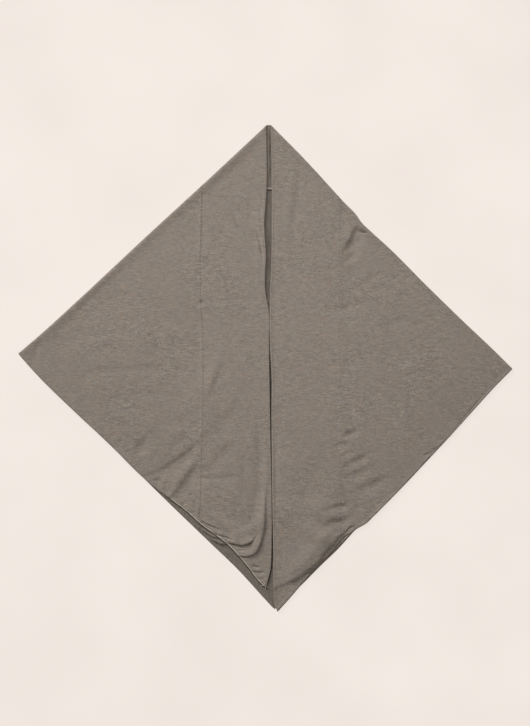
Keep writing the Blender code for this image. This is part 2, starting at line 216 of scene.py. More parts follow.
@dataclass(frozen=True)
class Rumple:
    """Seeded smooth unevenness of cloth laid by hand."""

    seed: int
    spacing: float
    height: float
    turn: float
    half_field: ClassVar[float] = 1.0

    def read(self, x: Array, y: Array) -> Array:
        """Reads the unevenness at places on the table.

        Args:
            x, y: Places on the table.

        Returns:
            The height at each place, about 0.
        """
        count = int(2 * self.half_field / self.spacing) + 4
        knots = np.random.default_rng(self.seed).uniform(-1.0, 1.0, (count, count))
        a = (x * math.cos(self.turn) + y * math.sin(self.turn) + self.half_field) / self.spacing
        b = (y * math.cos(self.turn) - x * math.sin(self.turn) + self.half_field) / self.spacing
        i, j = np.floor(a).astype(int), np.floor(b).astype(int)
        s, t = a - i, b - j
        s, t = s**3 * (s * (6 * s - 15) + 10), t**3 * (t * (6 * t - 15) + 10)
        i, j = np.clip(i, 0, count - 2), np.clip(j, 0, count - 2)
        low = knots[i, j] * (1 - s) + knots[i + 1, j] * s
        high = knots[i, j + 1] * (1 - s) + knots[i + 1, j + 1] * s
        return self.height * (low * (1 - t) + high * t)


@dataclass(frozen=True)
class Half:
    """Where one half of the folded cloth lies: its corners, its edges' bows and its creases."""

    side: Side
    apex: Spot
    corner: Spot
    flap_tip: Spot
    back_tip: Spot
    fold_bow: Curve
    back_hem_bow: Curve
    flap_hem_bow: Curve
    roll: Curve
    creases: tuple[Crease, ...]


LEFT_CREASES = Crease.rows(
    # the soft hollow inside the fold, and the bend across the corner
    (-0.8, 11, 0.3, (-19, 421), (-36, 403), (-56, 382), (-78, 363), (-105, 340)),
    (-0.4, 8, 0, (-140, 306), (-171, 276), (-202, 250), (-233, 222)),
    (-0.4, 8, 0, (-248, 207), (-289, 168), (-330, 129), (-374, 86)),
    (-2.0, 5, 0.2, (-411, 71), (-422, 57), (-427, 42), (-430, 27), (-430, 12), (-426, -3)),
    # upright lines beside the seam and beside the inner edge
    (0.8, 3.5, 0, (-124, 326), (-123, 285), (-122, 239)),
    (-0.5, 3.5, 0.3, (-132, 265), (-133, 243), (-132, 217)),
    (-0.65, 9, 0.3, (-56, 317), (-65, 295), (-77, 270), (-88, 246), (-99, 218)),
    (-1.6, 9, 0.2, (-30, 302), (-34, 270)),
    (-1.7, 1.4, 0, (-65, 287), (-54, 269), (-47, 254)),
    (-2.0, 2.4, 0.3, (-18, 256), (-14, 241), (-10, 224), (-6, 203)),
    (-0.9, 1.8, 0.3, (-20, 268), (-15, 258)),
    (0.9, 5, 0, (-15, 304), (-12, 261), (-13, 211), (-15, 155)),
    (-0.4, 3, 0, (-4, 321), (-8, 291), (-7, 265)),
    (-0.4, 4, 0, (-15, 187), (-18, 155), (-13, 124)),
    (0.5, 4, 0, (-100, 217), (-100, 192)),
    (-0.6, 4, -0.35, (-119, 128), (-93, 128), (-56, 129), (-15, 131)),
    (-2.4, 5, -0.3, (-129, 124), (-112, 125)),
    # long arcs above the free hem
    (-1.0, 9, -0.35, (-363, -49), (-351, -26), (-331, -6), (-302, 0), (-270, 1), (-209, 7), (-140, 2)),
    (-0.6, 8, -0.3, (-331, -70), (-294, -56), (-251, -46), (-199, -43), (-145, -46)),
    (-0.3, 7, -0.3, (-289, -105), (-255, -81), (-214, -66), (-168, -62)),
    (-0.8, 14, -0.25, (-244, -155), (-233, -141), (-220, -122), (-203, -103), (-181, -93), (-145, -96)),
    (-2.3, 9, -0.25, (-247, -159), (-237, -144), (-225, -129)),
    (-1.1, 13, -0.2, (-171, -137), (-158, -126), (-136, -115)),
    (-0.8, 4, 0, (-274, -115), (-285, -129), (-281, -144)),
    (-0.5, 3, 0, (-264, -126), (-270, -139)),
    # deep pulls from the seam down to the free hem
    (-2.7, 11, 0.5, (-118, -124), (-132, -141), (-145, -154), (-170, -172), (-196, -188), (-220, -197)),
    (1.4, 6, 0, (-131, -172), (-149, -195), (-170, -215)),
    (-2.7, 13, 0.42, (-123, -163), (-134, -185), (-149, -210), (-160, -224), (-173, -245)),
    (1.3, 5, 0, (-155, -208), (-171, -228), (-183, -241)),
    (-0.9, 3, 0, (-185, -221), (-199, -209), (-212, -211)),
    (-1.2, 4, 0, (-190, -200), (-201, -215), (-196, -228)),
    (-0.8, 2.8, 0, (-173, -235), (-185, -224), (-183, -209)),
    (-1.1, 3.5, 0, (-145, -245), (-153, -256), (-151, -265)),
    (-0.6, 2.8, 0, (-132, -228), (-142, -243), (-138, -256)),
    (-0.6, 2.4, 0, (-125, -239), (-132, -256), (-129, -265)),
    # short pulls between the seam and the inner edge
    (2.4, 10, -0.4, (-80, 16), (-89, -5), (-95, -23), (-101, -42), (-105, -59)),
    (-1.4, 14, 0.35, (-55, -69), (-70, -82), (-81, -93), (-94, -106), (-105, -121), (-113, -141)),
    (-1.5, 12, 0.35, (-64, -128), (-75, -146), (-95, -169), (-110, -183)),
    (-1.2, 5.5, -0.35, (-140, -204), (-112, -201), (-80, -201), (-45, -196)),
    (-0.6, 5, 0, (-42, -142), (-38, -189), (-39, -217)),
    (-1.6, 12, 0.3, (-18, -96), (-17, -170), (-19, -213), (-25, -263), (-39, -301)),
    (0.5, 7, 0, (-54, -161), (-52, -226), (-65, -273)),
    (1.2, 5, 0, (0, -133), (0, -226), (-6, -276), (-12, -301)),
    # the two bends round the tip, with the cloth bunched inside them
    (2.2, 9, 0, (-121, -258), (-80, -286), (-45, -306), (-21, -293), (-15, -263)),
    (-2.4, 1.0, 0, (-123, -279), (-116, -286), (-108, -290), (-96, -295), (-86, -299)),
    (1.0, 4, 0, (-119, -279), (-106, -288), (-86, -296)),
    (-2.4, 1.0, 0, (-101, -303), (-88, -310), (-76, -313), (-59, -319)),
    (1.0, 4, 0, (-97, -302), (-80, -309), (-60, -315)),
    (4.6, 9, -0.68, (-19, -314), (-25, -322), (-34, -327), (-44, -329), (-58, -326), (-73, -323)),
    (-2.4, 2.2, 0, (-19, -315), (-25, -324), (-34, -329), (-44, -331), (-58, -328), (-73, -325)),
    (4.7, 8, -0.63, (1, -241), (0, -275), (-2, -299), (-6, -317), (-11, -332), (-18, -343),
     (-28, -349), (-45, -349), (-60, -346)),
    (-1.8, 1.3, 0, (-21, -348), (-34, -351), (-49, -350)),
    (-1.0, 2, -0.3, (-54, -337), (-34, -337)),
    (-0.8, 2, -0.3, (-51, -343), (-36, -344)),
    (-1.7, 2.6, -0.3, (-25, -364), (-19, -367), (-10, -368)),
    (-1.7, 2.4, -0.3, (-26, -375), (-15, -378), (-2, -378)),
    (-1.2, 2, 0, (-15, -390), (-8, -392), (-2, -391)),
    # puckers where the seam meets the hem
    (-1.2, 2.4, -0.3, (-154, -257), (-144, -265), (-138, -267), (-131, -266)),
    (-0.6, 1.8, 0, (-151, -250), (-140, -254)),
)

LEFT_HALF = Half(
    side=Side.LEFT,
    apex=(0.0024, 0.4522),
    corner=(-0.4590, 0.0275),
    flap_tip=(0.0015, -0.4085),
    back_tip=(0.0135, -0.4443),
    fold_bow=Curve((0.0, 0.2, 0.5, 0.75, 0.9, 1.0), (0.0, -0.001, -0.001, -0.0023, -0.002, 0.0)),
    back_hem_bow=Curve(
        (0.0, 0.06, 0.22, 0.35, 0.6, 0.75, 0.86, 0.95, 1.0),
        (0.0, 0.0025, 0.0021, 0.0, -0.0012, -0.003, -0.0043, -0.0015, 0.0),
    ),
    flap_hem_bow=Curve(
        (0.0, 0.06, 0.25, 0.38, 0.5, 0.56, 0.63, 0.68, 0.735, 0.79, 0.83, 0.92, 0.97, 1.0),
        (0.0, 0.0037, 0.0063, 0.0056, 0.0079, 0.0065, 0.0008, -0.0025, -0.0032, -0.0080, -0.01, -0.0056,
         -0.0003, 0.0),
    ),
    roll=Curve((0.0, 0.2, 0.45, 0.7, 0.9, 1.0), (0.0021, 0.0027, 0.0024, 0.0028, 0.0024, 0.0018)),
    creases=LEFT_CREASES,
)

RIGHT_CREASES = Crease.rows(
    # down from the apex and beside the fold
    (-1.2, 8, -0.25, (41, 403), (52, 399), (67, 389), (78, 375), (87, 353), (99, 329)),
    (-1.6, 11, 0.3, (58, 373), (56, 336), (51, 295), (45, 254)),
    (0.7, 6, 0, (51, 362), (46, 313), (41, 257)),
    (0.7, 4, 0, (70, 354), (67, 304)),
    (-1.6, 6, 0.2, (140, 304), (141, 282)),
    # the pucker where the seam meets the fold
    (-4.2, 10, -0.35, (147, 217), (154, 230), (161, 242), (166, 256), (171, 265)),
    (-2.0, 4, 0.3, (168, 266), (174, 264), (181, 260)),
    (-14.0, 3.8, 0.66, (172, 252), (180, 251), (189, 251), (199, 253), (214, 256)),
    (3.0, 8, 0.4, (158, 269), (169, 264), (180, 259), (191, 254), (202, 248)),
    (2.2, 9, 0.3, (142, 214), (151, 229), (160, 241), (165, 256), (169, 268)),
    (-3.4, 7, -0.35, (148, 202), (156, 209), (166, 216)),
    (-0.8, 9, -0.3, (150, 182), (160, 185), (171, 193)),
    (-0.3, 5, -0.3, (121, 186), (134, 193), (147, 200)),
    (-0.6, 3, 0, (214, 228), (223, 224), (230, 217)),
    # pulls between the fold and the seam
    (-1.0, 9, -0.35, (146, 137), (161, 149), (180, 160), (199, 174), (217, 186)),
    (-1.2, 8, -0.3, (111, 113), (126, 114), (147, 115), (161, 120), (180, 127)),
    (-0.35, 4, -0.3, (236, 166), (249, 176), (262, 185)),
    (-0.6, 3, 0, (271, 172), (282, 166), (295, 161)),
    (-1.0, 8, -0.35, (202, 74), (219, 81), (234, 87), (254, 93), (273, 88), (292, 83)),
    (-0.3, 6, 0, (260, 44), (297, 34), (325, 21)),
    (-0.25, 5, 0, (214, 25), (241, 31), (273, 25)),
    # puckers down the seam
    (-0.5, 3.2, -0.3, (122, -135), (141, -134)),
    (-0.5, 3.6, -0.25, (128, -155), (138, -151)),
    (-2.4, 6, -0.3, (145, -123), (160, -117), (176, -110)),
    (-2.2, 6, -0.25, (128, -142), (145, -138), (161, -141)),
    (-2.0, 5, -0.25, (143, -159), (154, -154), (165, -153)),
    (-2.4, 8, -0.35, (147, -179), (160, -172), (171, -167), (186, -159)),
    (-2.2, 9, -0.35, (147, -199), (160, -195), (175, -189), (192, -181)),
    (-2.4, 10, -0.35, (165, -224), (186, -217), (204, -210), (227, -198)),
    (-0.4, 2.4, -0.3, (119, -242), (130, -240), (140, -239)),
    (-2.4, 6, -0.3, (109, -261), (122, -258), (132, -254), (145, -252), (152, -245)),
    (-2.1, 7, -0.3, (96, -301), (115, -288), (130, -281), (140, -281), (148, -278), (163, -270)),
    (-1.7, 5, 0, (167, -258), (180, -259)),
    # the soft hollow and the curled hem near the point
    (2.0, 30, 0, (37, -115), (46, -208), (35, -319)),
    (-1.3, 13, 0, (121, -245), (106, -286), (94, -323)),
    (4.4, 30, 0.3, (98, -341), (121, -291), (139, -237)),
    (3.0, 20, 0.4, (37, -386), (57, -377), (76, -364), (94, -345), (111, -326), (126, -304), (139, -284)),
    (4.8, 13, 0.74, (22, -408), (41, -399), (57, -391), (74, -380), (91, -367), (105, -352),
     (117, -336), (128, -325), (136, -315), (147, -305), (158, -296)),
    (0.9, 1.8, 0, (98, -365), (113, -349), (128, -331), (141, -315), (150, -307)),
    (-3.8, 1.9, 0, (85, -381), (105, -360), (126, -341), (140, -324), (148, -314), (159, -307),
     (167, -299)),
    (-1.2, 1.6, 0, (152, -301), (160, -295), (165, -298)),
    # along the free hem and beside the inner edge
    (-1.2, 3, 0, (290, -164), (308, -157), (325, -143)),
    (-1.1, 1.9, -0.3, (201, -275), (245, -230), (300, -170), (350, -114), (412, -42), (442, -14)),
    (-0.9, 3.2, 0, (21, -115), (20, -208), (21, -291)),
    (-0.4, 4, 0, (18, 127), (19, 34), (18, -59)),
)

RIGHT_HALF = Half(
    side=Side.RIGHT,
    apex=(0.0108, 0.4522),
    corner=(0.4596, -0.0007),
    flap_tip=(0.0229, -0.4523),
    back_tip=(0.0219, -0.4443),
    fold_bow=Curve(
        (0.0, 0.15, 0.25, 0.31, 0.36, 0.385, 0.42, 0.46, 0.50, 0.64, 0.8, 0.92, 1.0),
        (0.0, -0.0005, -0.003, -0.0047, -0.0050, -0.0078, -0.0076, -0.0062, -0.0050, -0.0047, -0.003,
         -0.0005, 0.0),
    ),
    back_hem_bow=Curve(
        (0.0, 0.1, 0.25, 0.37, 0.5, 0.6, 0.64, 0.665, 0.7, 0.74, 0.82, 0.92, 1.0),
        (0.0, -0.001, 0.004, 0.0055, 0.0070, 0.0068, 0.0055, 0.0030, 0.0033, 0.0045, 0.0034, 0.003, 0.0),
    ),
    flap_hem_bow=Curve(
        (0.0, 0.08, 0.17, 0.27, 0.38, 0.46, 0.53, 0.60, 0.63, 0.66, 0.70, 0.75, 0.85, 0.95, 1.0),
        (0.0, -0.0003, 0.0015, 0.0038, 0.0051, 0.0059, 0.0057, 0.005, 0.0043, -0.0011, -0.003, -0.0025,
         -0.0045, -0.001, 0.0),
    ),
    roll=Curve((0.0, 0.25, 0.38, 0.5, 0.75, 1.0), (0.0020, 0.0024, 0.0031, 0.0024, 0.0027, 0.0018)),
    creases=RIGHT_CREASES,
)

# Creases of the layer that lies on the table. They lift it, and the flap above lifts with it.
BACK_CREASES = Crease.rows(
    (1.6, 3, 0.4, (-136, -280), (-127, -289), (-115, -299)),
    (3.2, 3.0, 0.45, (-123, -297), (-109, -307), (-99, -313), (-86, -317)),
    (3.6, 3.0, 0.45, (-104, -316), (-91, -323), (-82, -327), (-72, -328)),
    (0.8, 3, 0, (-80, -336), (-62, -349)),
    (3.0, 1.9, 0, (7, 466), (7, 406), (7, 336)),
    (1.8, 9, -0.2, (9, 323), (7, 239), (9, 135)),
    (0.5, 9, 0, (-380, 20), (-300, 50), (-210, 64)),
    (0.5, 10, 0, (-180, 150), (-120, 120), (-40, 112)),
    (0.5, 9, 0, (70, 330), (110, 250), (120, 180)),
    (0.5, 10, 0, (330, 40), (240, -10), (170, -20)),
    (0.5, 9, 0, (120, -120), (60, -190), (10, -230)),
    (0.4, 8, 0, (-250, -90), (-170, -120), (-90, -110)),
)

# Where in Y the gap between the flaps' inner edges was measured.
GAP_STOPS = (
    -0.4523, -0.440, -0.4085, -0.390, -0.373, -0.349, -0.319, -0.122, -0.077,
    -0.027, 0.043, 0.107, 0.142, 0.172, 0.204, 0.267, 0.332, 0.452,
)


@dataclass(frozen=True)
class FoldedCloth:
    """The whole cut, and how it lies on the table once both long corners are folded down."""

    halves: tuple[Half, Half] = (LEFT_HALF, RIGHT_HALF)
    half_long_edge: float = 0.900
    half_apex: float = 0.0042
    band_width: float = 0.1245
    wall: float = 0.0008
    back_hem_wall: float = 0.0014
    flap_hem_wall: float = 0.0015
    hem_width: float = 0.0036
    hem_step: float = 0.0022
    inner_edge_wall: float = 0.0013
    inner_edge_reach: float = 0.0040
    edge_round: float = 0.0012
    rim_share: float = 0.2
    layer: float = 0.0030
    loft: float = 0.0026
    loft_reach: float = 0.065
    edge_loft: float = 0.80
    edge_swell: float = 0.15
    deepest: float = -0.0021
    softness: float = 0.0006
    crease_reach: float = 0.009
    roll_reach: float = 0.0095
    shift_reach: float = 0.022
    slope_step: float = 0.00025
    find_rounds: int = 5
    seam_drift: Curve = Curve(
        (-0.78, -0.64, -0.52, -0.41, -0.3, -0.13, 0.0, 0.13, 0.4, 0.78),
        (0.0, 0.004, 0.009, 0.009, 0.006, 0.008, 0.008, -0.002, -0.002, 0.0),
    )
    gap_middle: Curve = Curve(
        GAP_STOPS,
        (0.0157, 0.0105, 0.0087, 0.0108, 0.0125, 0.0134, 0.0134, 0.0108, 0.0104,
         0.0102, 0.0082, 0.0076, 0.0048, 0.0049, 0.0065, 0.0054, 0.0075, 0.0066),
    )
    gap_width: Curve = Curve(
        GAP_STOPS,
        (0.0145, 0.0145, 0.0145, 0.0089, 0.0048, 0.0034, 0.0022, 0.0020, 0.0026,
         0.0040, 0.0016, 0.0014, 0.0084, 0.0106, 0.0100, 0.0138, 0.0097, 0.0084),
    )
    swells: tuple[Rumple, ...] = (
        Rumple(3, 0.110, 0.0010, 0.4),
        Rumple(8, 0.047, 0.00035, 1.1),
        Rumple(21, 0.018, 0.00008, 0.8),
    )

    def seam_v(self, u: Array) -> Array:
        """Returns the distance of the seam from the long edge at places along that edge."""
        return self.band_width - self.seam_drift.read(np.asarray(u, float))

    def from_leg(self, u: Array, v: Array) -> Array:
        """Returns how far places of the cut lie in from the nearer leg."""
        return (self.half_long_edge - np.abs(u) - v) / math.sqrt(2)

    def half_wall(self, u: Array, v: Array) -> Array:
        """Finds half the cloth's thickness, which grows at the turned hems and rounds off.

        Args:
            u, v: Places of the cut.

        Returns:
            Half the wall at each place.
        """
        leg, inner = self.from_leg(u, v), np.maximum(v, 0.0)
        on_hem = 1 / (1 + np.exp((leg - self.hem_width) / (self.hem_step / 4)))
        on_flap = np.clip((np.abs(u) - self.half_apex - v) / self.crease_reach, 0.0, 1.0)
        hem_wall = self.back_hem_wall + (self.flap_hem_wall - self.back_hem_wall) * on_flap
        inner_wall = (self.inner_edge_wall - self.wall) * (1 - ease_in(inner, self.inner_edge_reach))
        full = (self.wall + np.maximum((hem_wall - self.wall) * on_hem, inner_wall)) / 2
        out = np.clip(1 - np.maximum(np.minimum(leg, inner), 0.0) / self.edge_round, 0.0, 1.0)
        return full * (self.rim_share + (1 - self.rim_share) * np.sqrt(1 - out**2))

    def weigh(self, across: Array, v: Array) -> tuple[Array, Array, Array]:
        """Finds how near places of the cut are to their side's apex, corner and tip.

        Args:
            across, v: Places in one half of the cut.

        Returns:
            Three weights that add up to 1.
        """
        reach = self.half_long_edge - self.half_apex
        to_corner = 2 * np.minimum(across, v) / reach
        to_tip = np.abs(across - v) / reach
        return 1 - to_corner - to_tip, to_corner, to_tip

    def inner_edge_pull(self, half: Half, along: Array) -> Array:
        """Finds how far a flap's inner edge lies in X from the line between its apex and tip.

        Args:
            half: The half of the cloth.
            along: Places along that edge, from 0 at the apex to 1 at the tip.

        Returns:
            The distance in X at each place.
        """
        y = half.apex[1] + along * (half.flap_tip[1] - half.apex[1])
        straight = half.apex[0] + along * (half.flap_tip[0] - half.apex[0])
        return self.gap_middle.read(y) + half.side.value * self.gap_width.read(y) / 2 - straight

    def spread_flat(self, half: Half, weights: tuple[Array, Array, Array], on_flap: Array) -> Array:
        """Places points of one half on the table, with bowed edges but no roll at the fold.

        Args:
            half: The half of the cloth.
            weights: The points' weights to its apex, corner and tip.
            on_flap: Whether each point is on the flap.

        Returns:
            The points' X and Y.
        """
        to_apex, to_corner, to_tip = weights
        tip = np.where(on_flap[:, None], half.flap_tip, half.back_tip)
        place = np.outer(to_apex, half.apex) + np.outer(to_corner, half.corner) + to_tip[:, None] * tip

        fold_bow = half.fold_bow.read(share(to_corner, to_apex)) * (1 - to_tip) ** 2
        along_hem = share(to_tip, to_corner)
        flap_bow, back_bow = half.flap_hem_bow.read(along_hem), half.back_hem_bow.read(along_hem)
        hem_bow = np.where(on_flap, flap_bow, back_bow) * np.maximum(1 - to_apex, 0) ** 3
        place += np.outer(fold_bow, outward(half.apex, half.corner, half.flap_tip))
        place += np.outer(hem_bow, outward(half.corner, half.flap_tip, half.apex))

        pull = self.inner_edge_pull(half, share(to_tip, to_apex)) * np.maximum(1 - to_corner, 0) ** 4
        place[:, 0] += np.where(on_flap, pull, 0.0)
        return place

    def flap_relief(
        self, half: Half, place: Array, from_fold: Array, from_hem: Array, v: Array, settled: Array
    ) -> Array:
        """Finds the height of a flap's loft, swells and creases above the flat layer.

        Args:
            half: The half of the cloth.
            place: Places on the table.
            from_fold: Their distances in from the fold's roll.
            from_hem: Their distances in from the free hem.
            v: Their distances in from the inner edge.
            settled: How high the flap lies there without them.

        Returns:
            The height at each place, which never takes the flap into the layer below.
        """
        inside = ease_in(from_fold, self.loft_reach) * ease_in(from_hem, self.loft_reach)
        inside = inside * (self.edge_loft + (1 - self.edge_loft) * ease_in(v, self.loft_reach))
        x, y = place.T
        creases = sum(crease.raise_cloth(x, y) for crease in half.creases)
        swells = sum(swell.read(x, y) for swell in self.swells)
        swells *= self.edge_swell + (1 - self.edge_swell) * inside
        height = self.loft * inside + (creases + swells) * ease_in(from_fold, self.crease_reach)
        deepest = self.deepest + self.layer - settled
        above = height - deepest
        return deepest + (above + np.sqrt(above**2 + self.softness**2)) / 2

    def place_half(self, half: Half, across: Array, v: Array) -> Array:
        """Finds where points of one half lie on the table, seen from above.

        Args:
            half: The half of the cloth.
            across, v: Places in that half of the cut.

        Returns:
            The points' X and Y.
        """
        weights = self.weigh(across, v)
        roll = half.roll.read(share(weights[1], weights[0]))
        from_fold = (across - v) / math.sqrt(2)
        beyond = np.maximum(np.abs(from_fold) - roll * math.pi / 2, 0.0)
        turn = np.clip(from_fold / roll, -math.pi / 2, math.pi / 2)
        inset = self.wall / 2 + roll * (1 - np.cos(turn)) + beyond
        shift = (inset - np.abs(from_fold)) * (1 - ease_in(beyond, self.shift_reach))
        place = self.spread_flat(half, weights, across > v)
        return place - np.outer(shift, outward(half.apex, half.corner, half.flap_tip))

    def lay_half(self, half: Half, across: Array, v: Array, thick: Array) -> Array:
        """Lays points of one half of the cloth, on the middle of its wall.

        Args:
            half: The half of the cloth.
            across, v: Places in that half of the cut.
            thick: Half the wall at each point.

        Returns:
            The points' places on the table.
        """
        place = self.place_half(half, across, v)
        to_apex, to_corner, _ = self.weigh(across, v)
        roll = half.roll.read(share(to_corner, to_apex))
        from_fold = (across - v) / math.sqrt(2)
        turn = np.clip(from_fold / roll, -math.pi / 2, math.pi / 2)
        beyond = np.maximum(np.abs(from_fold) - roll * math.pi / 2, 0.0)

        lifted = sum(crease.raise_cloth(place[:, 0], place[:, 1]) for crease in BACK_CREASES)
        lifted = lifted * ease_in(beyond, self.crease_reach)
        on_roll = thick + roll * (1 + np.sin(turn)) + lifted
        settled = 2 * roll + (self.layer - 2 * roll) * ease_in(beyond, self.roll_reach)
        from_hem = to_apex * (self.half_long_edge - self.half_apex) / math.sqrt(2)
        relief = self.flap_relief(half, place, beyond, from_hem, v, settled)
        height = np.where(turn < math.pi / 2, on_roll, thick + settled + lifted + relief)
        return np.column_stack([place, height])

    def lay(self, u: Array, v: Array) -> Array:
        """Lays points of the cut on the table, on the middle of the wall.

        Args:
            u, v: Places of the cut.

        Returns:
            Their places on the table.
        """
        across = np.abs(u) - self.half_apex
        thick = self.half_wall(u, v)
        mix = np.clip(0.5 + u / (2 * self.half_apex), 0.0, 1.0)
        place = np.zeros((len(u), 3))
        for half, part in zip(self.halves, (1 - mix, mix)):
            own = part > 0
            place[own] += part[own, None] * self.lay_half(half, across[own], v[own], thick[own])
        return place

    def find_in_cut(self, half: Half, places: Array, on_flap: bool) -> Array:
        """Finds where in the cut some places on the table lie.

        Args:
            half: The half of the cloth.
            places: The places on the table.
            on_flap: Whether they are on the flap or on the layer below.

        Returns:
            The places of the cut.
        """
        reach = self.half_long_edge - self.half_apex
        tip = half.flap_tip if on_flap else half.back_tip
        corners = np.column_stack([np.array([half.apex, half.corner, tip]), np.ones(3)]).T
        target = places.copy()
        for _ in range(self.find_rounds):
            target_rows = np.column_stack([target, np.ones(len(target))]).T
            _, to_corner, to_tip = np.linalg.solve(corners, target_rows)
            near, far = to_corner * reach / 2, to_corner * reach / 2 + to_tip * reach
            across, v = (far, near) if on_flap else (near, far)
            target += places - self.place_half(half, across, v)
        return np.column_stack([half.side.value * (across + self.half_apex), v])

    def skin(self, u: Array, v: Array) -> tuple[Array, Array]:
        """Finds the middle of the wall and the direction of its right side.

        Args:
            u, v: Places of the cut.

        Returns:
            The places on the table, and a unit normal at each, up on a flap and down below.
        """
        step = self.slope_step
        along_u = self.lay(u + step, v) - self.lay(u - step, v)
        along_v = self.lay(u, v + step) - self.lay(u, v - step)
        normal = np.cross(along_u, along_v)
        return self.lay(u, v), normal / np.linalg.norm(normal, axis=1)[:, None]

    def face(self, u: Array, v: Array, lift: float, right_side: bool = True) -> Array:
        """Finds places just above one face of the cloth.

        Args:
            u, v: Places of the cut.
            lift: How far above the face.
            right_side: Whether it is the garment's right side or its wrong side.

        Returns:
            The places on the table.
        """
        middle, normal = self.skin(u, v)
        out = self.half_wall(u, v) + lift
        return middle + normal * (out if right_side else -out)[:, None]


def share(part: Array, rest: Array) -> Array:
    """Returns how far along an edge points lie, from the weights of the edge's two ends."""
    return part / np.maximum(part + rest, 1e-6)


def ease_in(distance: Array, reach: float) -> Array:
    """Returns a share that grows from 0 at an edge towards 1 at some distance in from it."""
    return 1 - np.exp(-((np.maximum(distance, 0.0) / reach) ** 2))


def outward(start: Spot, end: Spot, inside: Spot) -> Array:
    """Finds the direction square to an edge, away from the cloth.

    Args:
        start: One end of the edge.
        end: Its other end.
        inside: A place inside the cloth.

    Returns:
        A unit direction on the table.
    """
    along = np.subtract(end, start)
    square = np.array([along[1], -along[0]]) / math.hypot(*along)
    return -square if np.dot(np.subtract(inside, start), square) > 0 else square


@dataclass
class PointPicker:
    """Keeps points of the cut that stay clear of each other."""

    cell: float = 0.003
    points: list[Spot] = field(default_factory=list)
    cells: dict[tuple[int, int], list[int]] = field(default_factory=dict)

    def key(self, point: Spot) -> tuple[int, int]:
        """Returns the cell that a point falls in."""
        return int(point[0] // self.cell), int(point[1] // self.cell)

    def is_clear(self, point: Spot, clearance: float) -> bool:
        """Tells whether a point is clear of the points kept so far.

        Args:
            point: The point of the cut.
            clearance: The least distance to another.

        Returns:
            Whether no kept point is nearer.
        """
        i, j = self.key(point)
        reach = int(clearance // self.cell) + 1
        for a in range(i - reach, i + reach + 1):
            for b in range(j - reach, j + reach + 1):
                for index in self.cells.get((a, b), ()):
                    if math.dist(self.points[index], point) < clearance:
                        return False
        return True

    def keep(self, point: Spot, clearance: float = 0.0) -> None:
        """Keeps a point if it is clear of the others.

        Args:
            point: The point of the cut.
            clearance: The least distance to another, or 0 to keep it always.
        """
        if clearance and not self.is_clear(point, clearance):
            return
        self.cells.setdefault(self.key(point), []).append(len(self.points))
        self.points.append(point)


